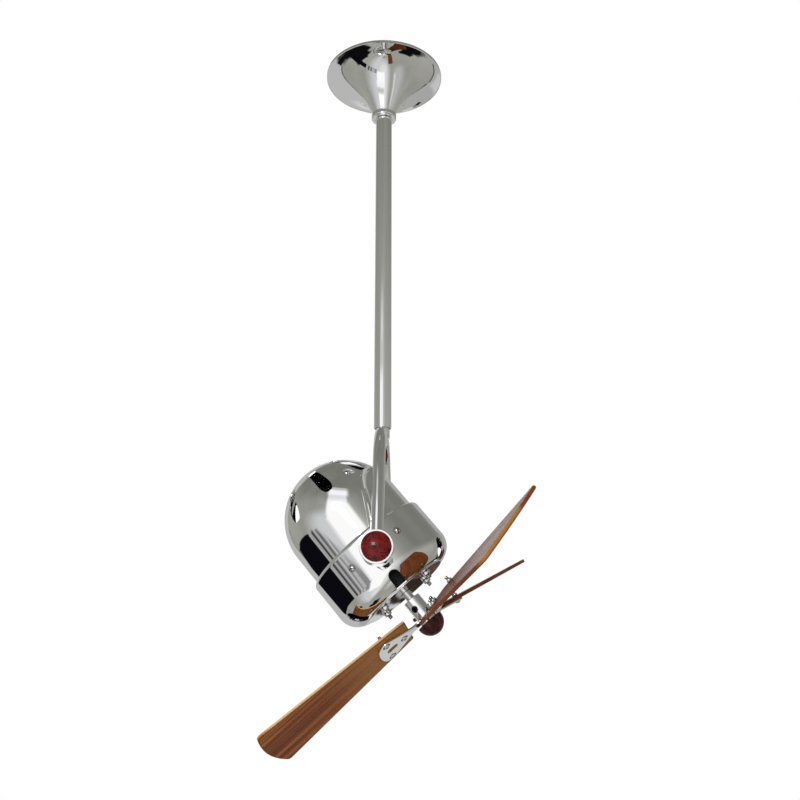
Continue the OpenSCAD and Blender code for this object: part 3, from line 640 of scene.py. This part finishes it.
# %% The rounded plate tree
tree, into, out = new_group("rounded_plate", "GeometryNodeTree", {
    "Outline": "Geometry", "Thickness": 0.005, "Edge Radius": 0.001, "Edge Steps": 5,
    "Finish": "Material",
}, {"Plate": "Geometry"})
corners = result(tree, "GeometryNodeMeshToPoints", Mesh=into["Outline"])
loop = named(tree, "loop", "INT")
loops = result(tree, "GeometryNodePointsToCurves", Points=corners, Curve_Group_ID=loop)
loops = result(tree, "GeometryNodeSetSplineCyclic", Geometry=loops, Cyclic=True)
loops = result(tree, "GeometryNodeSetCurveNormal", {"mode": "Z_UP"}, Curve=loops)

steps, radius = into["Edge Steps"], into["Edge Radius"]
number = result(tree, "GeometryNodeInputIndex")
is_low = maths("GREATER_THAN", number, steps)
share = maths("DIVIDE", less(number, is_low), steps)
bend = times(less(1.0, share), math.pi / 2)
inward = times(less(maths("COSINE", bend), 1.0), radius)
rounding = times(less(1.0, maths("SINE", bend)), radius)
flat_part = less(into["Thickness"], times(radius, 2.0))
depth = plus(rounding, times(is_low, flat_part))
count = maths("MULTIPLY_ADD", steps, 2.0, 2.0)
ruler = result(tree, "GeometryNodeCurvePrimitiveLine")
section = result(tree, "GeometryNodeResampleCurve", {"mode": "COUNT"}, Curve=ruler, Count=count)
place = triple(tree, inward, depth)
section = result(tree, "GeometryNodeSetPosition", Geometry=section, Position=place)
rim = result(tree, "GeometryNodeCurveToMesh", Curve=loops, Profile_Curve=section)
rim = result(tree, "GeometryNodeSetShadeSmooth", Geometry=rim, Shade_Smooth=True)

sideways = result(tree, "GeometryNodeInputNormal")
back_in = vector_maths("SCALE", i0=sideways, Scale=times(radius, -1.0))
inset = result(tree, "GeometryNodeSetPosition", Geometry=loops, Offset=back_in)
face = result(tree, "GeometryNodeFillCurve", Curve=inset)
face = result(tree, "GeometryNodeSetShadeSmooth", Geometry=face, Shade_Smooth=False)
under = moved(face, z=times(into["Thickness"], -1.0))
parts = join_marked("edge", ((rim, 1.0), (face, 0.0), (under, 0.0)))
settings = {"data_type": "FLOAT_VECTOR", "domain": "POINT"}
whole = result(tree, "GeometryNodeStoreNamedAttribute", settings, Geometry=parts, Name="plank",
               Value=result(tree, "GeometryNodeInputPosition"))
plate_tree = finished(whole, into, out)

# %% [markdown]
# ## Outlines
# A blade and a bracket have the same kind of outline: straight edges that spread outwards, an end
# that is an arc about the fan axis, and rounded corners. One function gives both. The bracket also
# has an oblong slot between its three screws.

# %% The flared outline
def arc(centre, radius, start, end, count):
    """Points on an arc. Angles are in radians."""
    angles = [start + (end - start) * i / count for i in range(count + 1)]
    x, y = centre
    return [(x + radius * math.cos(angle), y + radius * math.sin(angle)) for angle in angles]


def flared_outline(inner, neck, wide, end_radius, corner_radius):
    """An outline that runs anticlockwise. It is the CAD model's, in millimetres."""
    spread = math.atan2(wide[1] - neck[1], wide[0] - neck[0])
    inset = neck[1] * math.cos(spread) - neck[0] * math.sin(spread) - corner_radius
    reach = end_radius - corner_radius
    turn = spread + math.asin(inset / reach)
    middle = (reach * math.cos(turn), reach * math.sin(turn))
    upper = inner + [neck]
    upper += arc(middle, corner_radius, math.pi / 2 + spread, turn, 12)
    upper += arc((0.0, 0.0), end_radius, turn, 0.0, 24)[1:]
    lower = [(x, -y) for x, y in reversed(upper[:-1])]
    return [(x * MM, y * MM) for x, y in reversed(upper + lower)]


def outline_mesh(name, *outlines):
    """Points only, each with the number of its outline."""
    mesh = bpy.data.meshes.new(name)
    mesh.from_pydata([(x, y, 0.0) for outline in outlines for x, y in outline], [], [])
    numbers = mesh.attributes.new("loop", "INT", "POINT")
    numbers.data.foreach_set("value", [i for i, outline in enumerate(outlines) for _ in outline])
    return mesh


# %% The outlines of blade, bracket and slot
ROOT_START, ROOT_HALF_WIDTH, ROOT_CORNER = 29.0, 36.0, 2.5
SLOT_ENDS, SLOT_RADIUS = (64.25, 58.75), 6.0
QUARTER = math.pi / 2
root_middle = (ROOT_START + ROOT_CORNER, ROOT_HALF_WIDTH - ROOT_CORNER)
blade_shape = flared_outline(
    inner=arc(root_middle, ROOT_CORNER, math.pi, QUARTER + 0.15, 5),
    neck=(ROOT_START + ROOT_CORNER + 0.5, 36.45), wide=(259.0, 70.5),
    end_radius=272.0, corner_radius=7.0)
bracket_shape = flared_outline(
    inner=[(8.4, 6.48)], neck=(24.0, 6.48), wide=(67.0, 31.73), end_radius=82.5, corner_radius=13.0)
slot_shape = [(x * MM, y * MM) for x, y in (
    arc((SLOT_ENDS[0], 0.0), SLOT_RADIUS, QUARTER, -QUARTER, 14)
    + arc((SLOT_ENDS[1], 0.0), SLOT_RADIUS, -QUARTER, -3 * QUARTER, 14))]
print("blade outline", len(blade_shape), "points, bracket", len(bracket_shape), "points")

# %% [markdown]
# ## Wood
# The blades are stained hardwood under clear lacquer, with straight grain along their length. Wood
# grain is noise that is stretched along one axis: a broad layer for the bands, a finer one for the
# threads of the wood, and the finest for the pores. The group takes the place on the plank, so that
# each piece can be cut from another part of the log.

# %% The straight grain group
grain, into, out = new_group("straight_grain", "ShaderNodeTree", {
    "Place": "Vector", "Light": (0.31, 0.115, 0.026), "Middle": (0.185, 0.053, 0.012),
    "Dark": (0.085, 0.016, 0.004), "Band Width": 0.012,
}, {"Color": "Color", "Pores": "Float", "Height": "Float"})


def stretched(place, squeeze, *look):
    """Noise that is squeezed across the plank, and so looks stretched along it."""
    return noise(vector_maths("MULTIPLY", i0=place, i1=squeeze), 1.0, *look)


across = maths("DIVIDE", 1.0, into["Band Width"])
along = times(across, 0.03)
bands = stretched(into["Place"], triple(grain, along, across, across), 3.0, 0.55, 0.35)
threads = stretched(into["Place"], (5.0, 480.0, 480.0), 4.0, 0.6)
pores = stretched(into["Place"], (22.0, 1300.0, 1300.0), 2.0)
mixed = plus(times(bands, 0.6), times(threads, 0.4))
contrast = add_node(grain, "ShaderNodeValToRGB", Fac=mixed)
contrast.color_ramp.elements[0].position = 0.38
contrast.color_ramp.elements[1].position = 0.64
tone = contrast.outputs["Color"]
low_half = times(tone, 2.0, clamp=True)
high_half = less(times(tone, 2.0), 1.0, clamp=True)
stained = blend_colours(low_half, into["Dark"], into["Middle"])
stained = blend_colours(high_half, stained, into["Light"])
pore_mask = map_range(pores, 0.34, 0.43, 1.0, 0.0)
fill(out, Color=blend_colours(times(pore_mask, 0.45), stained, into["Dark"]),
     Pores=pore_mask, Height=less(threads, pore_mask))
print("grain group:", len(grain.nodes), "nodes")

# %% [markdown]
# ## Blade wood
# Each blade is cut from another part of the log. Two blades get darker copies of the wood as painted
# shade, one of them redder, and painted light makes the root of two blades paler. The sanded edges have
# a tone of their own: red by the root, orange at the tip. On one blade the edge is tan, a painted
# highlight, and on two blades painted shade darkens the edge where it meets the front. The lacquer is a
# clear coat over a rougher wood surface. It gives a streaked, pale sheen where a blade is seen edge on.

# %% Three blade woods, one for each blade
# The first colour is painted light that makes the root paler; the second is painted shade where the
# edge meets the front.
ROOT_LIGHT_TONE, FRONT_CORNER_SHADE = (0.3, 0.15, 0.042), (0.1, 0.024, 0.01)
TIP_ORANGE, TIP_RED = (0.43, 0.18, 0.035), (0.2, 0.04, 0.014)
# The tan edge colour is a painted highlight.
RED_EDGE, TAN_EDGE_HIGHLIGHT = (0.13, 0.042, 0.02), (0.62, 0.39, 0.18)
# The next two are darker copies of the blade wood: painted shade on two of the blades.
SHADED_WOOD = {"Light": (0.16, 0.058, 0.022), "Middle": (0.1, 0.03, 0.012), "Dark": (0.055, 0.013, 0.006)}
SHADED_RED_WOOD = {"Light": (0.2, 0.062, 0.02), "Middle": (0.15, 0.04, 0.013), "Dark": (0.1, 0.022, 0.008)}
# Where the looks change on the plank, in metres: out from the axis, across, and through the thickness.
ROOT_FADE, TIP_FADE, GLOSS_FADE = (0.06, 0.19), (0.235, 0.258), (0.06, 0.24)
RED_FADE, CORNER_FADE = 0.006, (-0.0026, -0.0012)


def lacquered_wood(name, log_place, finish, edge_share, root_edge, lit_root_share, red_from, corner_shade_share):
    """Blade wood. finish has the grain group's colours, and below red_from the tip's edge is red."""
    made, tree, shader = new_material(name)
    plank = attribute(tree, "plank", "Vector")
    outwards, sideways, upwards = add_node(tree, "ShaderNodeSeparateXYZ", Vector=plank).outputs
    place = vector_maths("ADD", i0=plank, i1=log_place)
    figure = add_node(tree, "ShaderNodeGroup", {"node_tree": grain}, Place=place, **finish).outputs
    # Painted light: the wood is paler towards the root.
    root_light = soft_range(outwards, *ROOT_FADE, lit_root_share, 0.0)
    wood = blend_colours(root_light, figure["Color"], ROOT_LIGHT_TONE)
    at_tip = soft_range(outwards, *TIP_FADE)
    redder = soft_range(sideways, red_from + RED_FADE, red_from - RED_FADE)
    edge_tone = blend_colours(at_tip, root_edge, blend_colours(redder, TIP_ORANGE, TIP_RED))
    # Painted shade: a darker line where the edge meets the front face.
    corner_shade = soft_range(upwards, *CORNER_FADE, 0.0, corner_shade_share)
    edge_tone = blend_colours(corner_shade, edge_tone, FRONT_CORNER_SHADE)
    on_edge = times(attribute(tree, "edge"), edge_share)
    facing = add_node(tree, "ShaderNodeLayerWeight", Blend=0.5).outputs["Facing"]
    edge_on = map_range(facing, 0.895, 0.95)
    glossier = soft_range(outwards, *GLOSS_FADE)
    streaks = map_range(figure["Height"], 0.25, 0.6, 0.4, 1.0)
    bump = result(tree, "ShaderNodeBump", Strength=0.25, Distance=0.00012, Height=figure["Height"])
    fill(shader, Base_Color=blend_colours(on_edge, wood, edge_tone), Specular_IOR_Level=0.02,
         Roughness=maths("MULTIPLY_ADD", figure["Pores"], 0.22, 0.34), Normal=bump,
         Coat_Weight=times(times(edge_on, glossier), streaks), Coat_Roughness=0.14)
    return made


BLADE_THICKNESS = 5.0
# Each blade: grain colours (painted shade on two blades), share and root colour of its edge, painted
# light on the root, red_from, painted shade on the front corner.
BLADE_WOODS = (
    (SHADED_RED_WOOD, 0.6, RED_EDGE, 0.15, -0.017, 0.7),
    ({}, 0.9, TAN_EDGE_HIGHLIGHT, 0.5, -1.0, 0.9),
    (SHADED_WOOD, 0.15, RED_EDGE, 0.0, -1.0, 0.0),
)
for number, looks in enumerate(BLADE_WOODS):
    log_place = (0.31 * number, 0.43 * number, 0.17 * number)
    wood = lacquered_wood(f"stained_blade_wood_{number + 1}", log_place, *looks)
    outline = outline_mesh("blade_outline", blade_shape)
    blade = grow(f"rounded_blade_{number + 1}", plate_tree, outline, wood, blade_place(number), 0,
                 Thickness=BLADE_THICKNESS * MM, Edge_Radius=1.7 * MM, Edge_Steps=5)
    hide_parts(f"blade_{number + 1}")
    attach(blade, "rotor")

# %% [markdown]
# ## Blade brackets
# Each bracket is a stamped chrome plate on the blade's front face. It is grown with the same tree,
# with a tighter edge, from the face that lies on the wood.

# %% Brackets
BRACKET_THICKNESS = 3.0
BLADE_SCREWS = ((67.0, -22.5), (67.0, 22.5), (41.0, 0.0))
bracket_chrome = metal("bracket_chrome", CHROME, 0.02, 0.05, 0.1)
tree = bracket_chrome.node_tree
flat_place = vector_maths("MULTIPLY", i0=attribute(tree, "plank", "Vector"), i1=(1.0, 1.0, 0.0))
screw_places = [(x * MM, y * MM, 0.0) for x, y in BLADE_SCREWS]
# Painted shade: a dark ring round each of the bracket's three screws.
paint_shade_on(bracket_chrome, ring_mask(flat_place, screw_places, 5.3, 6.3))
for number in range(3):
    raised = blade_place(number) @ Matrix.Translation((0.0, 0.0, BRACKET_THICKNESS * MM))
    outline = outline_mesh("bracket_outline", bracket_shape, slot_shape)
    bracket = grow(f"stamped_bracket_{number + 1}", plate_tree, outline, bracket_chrome, raised, 0,
                   Thickness=BRACKET_THICKNESS * MM, Edge_Radius=0.55 * MM, Edge_Steps=3)
    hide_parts(f"blade_bracket_{number + 1}")
    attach(bracket, "rotor")

# %% [markdown]
# ## Threads, screws and nuts
# A thread is a ridge along a spiral, so the tree sweeps a small diamond along one, round a thinner
# core. The screws have a dome head with a cross recess, cut with a Boolean. Each tree puts copies at
# marks: points that know which way their screw faces.

# %% The threaded shank group
RIDGE_SHARE = 0.42  # of the pitch
tree, into, out = new_group("threaded_shank", "GeometryNodeTree", {
    "Diameter": 0.005, "Length": 0.02, "Thread Length": 0.01, "Pitch": 0.001,
}, {"Shank": "Geometry"})


def rod(radius, length):
    """A cylinder that hangs down from the origin."""
    tube = result(radius.id_data, "GeometryNodeMeshCylinder", Vertices=28, Radius=radius, Depth=length)
    return moved(tube, z=times(length, -0.5))


ridge = times(into["Pitch"], RIDGE_SHARE)
outside = times(into["Diameter"], 0.5)
plain = rod(outside, less(into["Length"], into["Thread Length"]))
core = rod(less(outside, times(ridge, 0.95)), into["Length"])
spiral_radius = less(outside, ridge)
turns = maths("DIVIDE", into["Thread Length"], into["Pitch"])
spiral = result(tree, "GeometryNodeCurveSpiral", Resolution=20, Rotations=turns,
                Start_Radius=spiral_radius, End_Radius=spiral_radius, Height=into["Thread Length"])
diamond = result(tree, "GeometryNodeCurvePrimitiveCircle", Resolution=4, Radius=ridge)
wound = result(tree, "GeometryNodeCurveToMesh", Curve=spiral, Profile_Curve=diamond, Fill_Caps=True)
wound = moved(wound, z=times(into["Length"], -1.0))
# The core between the thread's ridges is marked for painted shade.
fill(out, Shank=join_marked("recess_shade", ((plain, 0.0), (core, 0.85), (wound, 0.0))))
shank_tree = tree
print("threaded shank:", len(shank_tree.nodes), "nodes")


# %% Copies at marks
def at_marks(part, marks):
    """Copies of a part at points, each turned so that its Z follows the point's facing."""
    tree = part.id_data
    facing = named(tree, "facing", "FLOAT_VECTOR")
    turn = result(tree, "FunctionNodeAlignRotationToVector", {"axis": "Z"}, Vector=facing)
    return result(tree, "GeometryNodeInstanceOnPoints", Points=marks, Instance=part, Rotation=turn)


def marks_mesh(name, spots):
    """Points that each know which way they face. A spot is (place, facing)."""
    mesh = bpy.data.meshes.new(name)
    mesh.from_pydata([place for place, facing in spots], [], [])
    stored = mesh.attributes.new("facing", "FLOAT_VECTOR", "POINT")
    stored.data.foreach_set("vector", [value for place, facing in spots for value in facing])
    return mesh


def cut(operation, first, *others):
    """A Boolean of closed meshes."""
    settings = {"operation": operation, "solver": "EXACT"}
    node = add_node(first.id_data, "GeometryNodeMeshBoolean", settings)
    if operation == "DIFFERENCE":
        fill(node, Mesh_1=first)
    else:
        others = (first, *others)
    for part in others:
        fill(node, Mesh_2=part)
    return node.outputs["Mesh"]


# %% The dome-head screw tree
tree, into, out = new_group("dome_head_screws", "GeometryNodeTree", {
    "Marks": "Geometry", "Head Diameter": 0.009, "Head Height": 0.003, "Shank Diameter": 0.004,
    "Shank Length": 0.01, "Thread Length": 0.006, "Pitch": 0.0008, "Recess Width": 0.0045,
    "Finish": "Material",
}, {"Screws": "Geometry"})
BLOCK = 0.04
ARM_SHARE = 0.24  # of the recess width
height = into["Head Height"]
half_width = times(into["Head Diameter"], 0.5)
squares = plus(times(half_width, half_width), times(height, height))
ball_radius = maths("DIVIDE", squares, times(height, 2.0))
ball = result(tree, "GeometryNodeMeshUVSphere", Segments=32, Rings=24, Radius=ball_radius)
ball = moved(ball, z=less(height, ball_radius))
block = moved(result(tree, "GeometryNodeMeshCube", Size=(BLOCK, BLOCK, BLOCK)), z=-BLOCK / 2)
arm = times(into["Recess Width"], ARM_SHARE)
bar = result(tree, "GeometryNodeMeshCube", Size=triple(tree, into["Recess Width"], arm, height))
# The cross recess is marked for painted shade.
bar = marked(moved(bar, z=height), "recess_shade", 0.9)
crossbar = moved(bar, turn=math.pi / 2)
head = cut("DIFFERENCE", ball, block, bar, crossbar)
shank = result(tree, "GeometryNodeGroup", {"node_tree": shank_tree}, Diameter=into["Shank Diameter"],
               Length=into["Shank Length"], Thread_Length=into["Thread Length"], Pitch=into["Pitch"])
screw_tree = finished(at_marks(join(head, shank), into["Marks"]), into, out)

# %% The nut tree
tree, into, out = new_group("chamfered_nuts", "GeometryNodeTree", {
    "Marks": "Geometry", "Across Flats": 0.01, "Bore": 0.006, "Height": 0.005, "Finish": "Material",
}, {"Nuts": "Geometry"})
flat_radius = times(into["Across Flats"], 0.5)
corner_radius = maths("DIVIDE", flat_radius, math.cos(math.pi / 6))
prism = result(tree, "GeometryNodeMeshCylinder", Vertices=6, Radius=corner_radius, Depth=into["Height"])
half_height = times(into["Height"], 0.5)
squares = plus(times(flat_radius, flat_radius), times(half_height, half_height))
ball_radius = maths("SQRT", squares)
ball = result(tree, "GeometryNodeMeshUVSphere", Segments=48, Rings=24, Radius=ball_radius)
bore_radius = times(into["Bore"], 0.5)
bore = result(tree, "GeometryNodeMeshCylinder", Vertices=24, Radius=bore_radius, Depth=0.02)
# The bore is marked for painted shade.
nut = cut("DIFFERENCE", cut("INTERSECT", prism, ball), marked(bore, "recess_shade", 0.9))
nut = moved(nut, z=half_height)
nut_tree = finished(at_marks(nut, into["Marks"]), into, out)

# %% The stud tree
tree, into, out = new_group("threaded_studs", "GeometryNodeTree", {
    "Marks": "Geometry", "Diameter": 0.006, "Length": 0.1, "Thread Length": 0.012, "Pitch": 0.001,
    "Finish": "Material",
}, {"Studs": "Geometry"})
shank = result(tree, "GeometryNodeGroup", {"node_tree": shank_tree}, Diameter=into["Diameter"],
               Length=into["Length"], Thread_Length=into["Thread Length"], Pitch=into["Pitch"])
stud_tree = finished(at_marks(shank, into["Marks"]), into, out)

# %% [markdown]
# ## Fasteners in their places
# The marks come from the CAD model's distances: two screws beside each pivot on the drum, two on the
# dome, four studs with nuts on the front plate, and three screws with nuts through every blade. Painted
# shade darkens the chrome in rings round them, and round the hub's blackened grub screw.

# %% Marks
DRUM_RADIUS, DRUM_SCREW_DEPTH = 90.9, -8.3
DOME_CENTRE, DOME_RADIUS, DOME_SCREW_ANGLE = -82.0, 84.3, 66.0
STUD_CIRCLE, STUD_START, PLATE_FRONT = 50.5, -46.3, 50.7
HUB_RADIUS, HUB_SCREW_TURN, HUB_SCREW_DEPTH = 12.5, BLADE_TURN + 60.0, 77.5
BLADE_NUT_DEPTH = -9.0
PROUD = 0.05  # how far a screw head stands off a curved shell


def polar(radius, turn, depth=0.0):
    """A point in the head's frame, in metres."""
    angle = math.radians(turn)
    return Vector((radius * math.cos(angle), radius * math.sin(angle), depth)) * MM


shell_spots = [(polar(DRUM_RADIUS + PROUD, turn, DRUM_SCREW_DEPTH), polar(1.0, turn) / MM)
               for turn in (65.0, 115.0, 245.0, 295.0)]
dome_spots = []
dome_middle = Vector((0.0, 0.0, DOME_CENTRE * MM))
for turn in (60.0, 240.0):
    slope = math.radians(DOME_SCREW_ANGLE)
    outward = polar(math.sin(slope), turn, -math.cos(slope)) / MM
    dome_spots.append((dome_middle + outward * (DOME_RADIUS + PROUD) * MM, outward))
stud_turns = (45.0, 135.0, 225.0, 315.0)
stud_spots = [(polar(STUD_CIRCLE, turn, STUD_START), (0.0, 0.0, -1.0)) for turn in stud_turns]
stud_nut_spots = [(polar(STUD_CIRCLE, turn, PLATE_FRONT), (0.0, 0.0, 1.0)) for turn in stud_turns]
hub_facing = polar(1.0, HUB_SCREW_TURN) / MM
hub_spots = [(polar(HUB_RADIUS, HUB_SCREW_TURN, HUB_SCREW_DEPTH), hub_facing)]
blade_screw_spots, blade_nut_spots = [], []
for number in range(3):
    place = blade_place(number)
    up = place.to_3x3() @ Vector((0.0, 0.0, 1.0))
    for x, y in BLADE_SCREWS:
        blade_screw_spots.append((place @ (Vector((x, y, BRACKET_THICKNESS)) * MM), up))
        blade_nut_spots.append((place @ (Vector((x, y, BLADE_NUT_DEPTH)) * MM), up))
print(len(shell_spots) + len(dome_spots) + len(blade_screw_spots), "screws")

# %% Painted shade round the nuts and screws
# Each: the new chrome, its node, the spots, where the painted shade starts to fade and ends, and its
# share.
SHADE_RINGS = (
    ("plate_chrome", "front_plate", stud_nut_spots, 6.0, 7.4, 0.85),
    ("drum_chrome", "front_shell", shell_spots, 4.7, 5.5, 0.85),
    ("dome_chrome", "rear_shell", dome_spots, 3.7, 4.4, 0.85),
    ("hub_chrome", "hub", hub_spots, 4.4, 5.6, 0.9),
)
for title, node, spots, inner, outer, share in SHADE_RINGS:
    made = metal(title, CHROME, 0.012, 0.05, 0.12)
    centres = [head_place @ place for place, facing in spots]
    paint_shade_on(made, ring_mask(object_place(made.node_tree), centres, inner, outer), share)
    dress(node, made)
    print(title, "on", node)
dress("hub_set_screw", metal("blackened_steel", (0.02, 0.02, 0.022), 0.3, 0.15, 0.1, 90.0))
print("blackened_steel on hub_set_screw")

# %% Grow them
# Each: name, tree, the node it replaces, its body, its marks and their frame, and sizes in millimetres.
SCREW = ("Head_Diameter", "Head_Height", "Shank_Diameter", "Shank_Length", "Thread_Length", "Pitch",
         "Recess_Width")
NUT = ("Across_Flats", "Bore", "Height")
STUD = ("Diameter", "Length", "Thread_Length", "Pitch")
FASTENERS = [
    ("shell_screw_heads", screw_tree, "shell_screws", "head", shell_spots, head_place,
     SCREW, (9.0, 3.2, 4.0, 8.6, 6.0, 0.7, 4.4)),
    ("dome_screw_heads", screw_tree, "dome_screws", "head", dome_spots, head_place,
     SCREW, (7.0, 2.2, 3.0, 5.3, 4.0, 0.6, 3.4)),
    ("blade_screw_heads", screw_tree, "blade_screws", "rotor", blade_screw_spots, Matrix(),
     SCREW, (8.6, 2.6, 5.0, 17.0, 9.0, 0.9, 4.4)),
    ("blade_hex_nuts", nut_tree, "blade_nuts", "rotor", blade_nut_spots, Matrix(),
     NUT, (8.0, 5.04, 4.0)),
    ("stud_hex_nuts", nut_tree, "stud_nuts_front", "head", stud_nut_spots, head_place,
     NUT, (10.0, 6.04, 5.0)),
    ("threaded_motor_studs", stud_tree, "motor_studs", "head", stud_spots, head_place,
     STUD, (6.0, 107.45, 12.0, 1.0)),
]
for name, tree, node, body, spots, place, titles, sizes in FASTENERS:
    piece = grow(name, tree, marks_mesh(name + "_marks", spots), fastener_plate, place, 30,
                 **{title: value * MM for title, value in zip(titles, sizes)})
    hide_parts(node)
    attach(piece, body)

# %% [markdown]
# ## Burl caps and the finial
# The caps on the yoke's knobs are speckled burl under thick gloss lacquer: red-brown clouds, with
# dark eyes. Two noises and a Voronoi pattern, all pushed about by another noise, give that figure.
# The finial is turned from almost black-red wood, and its grain runs along the fan axis.

# %% Burl
burl, tree, shader = new_material("speckled_burl")
place = object_place(tree)
swirl = add_node(tree, "ShaderNodeTexNoise", Vector=place, Scale=70.0, Detail=2.0).outputs["Color"]
pushed = vector_maths("MULTIPLY_ADD", i0=swirl, i1=(0.012, 0.012, 0.012), i2=place)
cloud_mask = map_range(noise(pushed, 110.0, 5.0, 0.6), 0.36, 0.66)
eyes = add_node(tree, "ShaderNodeTexVoronoi", Vector=pushed, Scale=230.0).outputs["Distance"]
patch_mask = map_range(noise(pushed, 120.0, 3.0), 0.47, 0.53)
dark_spots = times(map_range(eyes, 0.46, 0.26), patch_mask, clamp=True)
colour = blend_colours(cloud_mask, (0.06, 0.004, 0.004), (0.155, 0.008, 0.007))
colour = blend_colours(times(dark_spots, 0.92), colour, (0.012, 0.003, 0.004))
fill(shader, Base_Color=colour, Roughness=maths("MULTIPLY_ADD", dark_spots, 0.2, 0.3),
     Specular_IOR_Level=0.05, Coat_Weight=0.3, Coat_Roughness=0.05)
print("caps:", finish_nodes("burl_wood", burl))

# %% Finial wood
dark_wood, tree, shader = new_material("dark_finial_wood")
along_axis = result(tree, "ShaderNodeMapping", Vector=object_place(tree),
                    Rotation=(0.0, math.radians(-90.0 - HEAD_LEAN), 0.0))
figure = add_node(tree, "ShaderNodeGroup", {"node_tree": grain}, Place=along_axis, Band_Width=0.006,
                  Light=(0.075, 0.014, 0.014), Middle=(0.035, 0.0065, 0.0075),
                  Dark=(0.01, 0.003, 0.004)).outputs
fill(shader, Base_Color=figure["Color"], Roughness=maths("MULTIPLY_ADD", figure["Pores"], 0.2, 0.3),
     Normal=result(tree, "ShaderNodeBump", Strength=0.3, Distance=0.0001, Height=figure["Height"]),
     Specular_IOR_Level=0.08, Coat_Weight=0.1, Coat_Roughness=0.2)
print("finial:", finish_nodes("finial_wood", dark_wood))

# %% [markdown]
# ## Plastic and fibre
# The capacitor and terminal block are moulded plastic, and the pivot washers are grey fibre. Both are
# dull, so a soft mottle in colour and roughness is enough.

# %% Plastic and fibre
def dull(name, colour, roughness, mottle, scale):
    """A dull material with a mottled colour and a fine bump."""
    made, tree, shader = new_material(name)
    cloud = noise(object_place(tree), scale, 4.0)
    shade = tuple(value * (1.0 - mottle) for value in colour)
    fill(shader, Base_Color=blend_colours(cloud, colour, shade),
         Roughness=maths("MULTIPLY_ADD", cloud, 0.2, roughness - 0.1),
         Normal=result(tree, "ShaderNodeBump", Strength=0.15, Distance=0.0002, Height=cloud))
    return made


plastic = dull("moulded_plastic", (0.78, 0.77, 0.74), 0.42, 0.06, 160.0)
fibre = dull("grey_fibre", (0.1, 0.1, 0.105), 0.7, 0.4, 700.0)
print("plastic:", finish_nodes("white_plastic", plastic))
print("fibre:", finish_nodes("fibre", fibre))
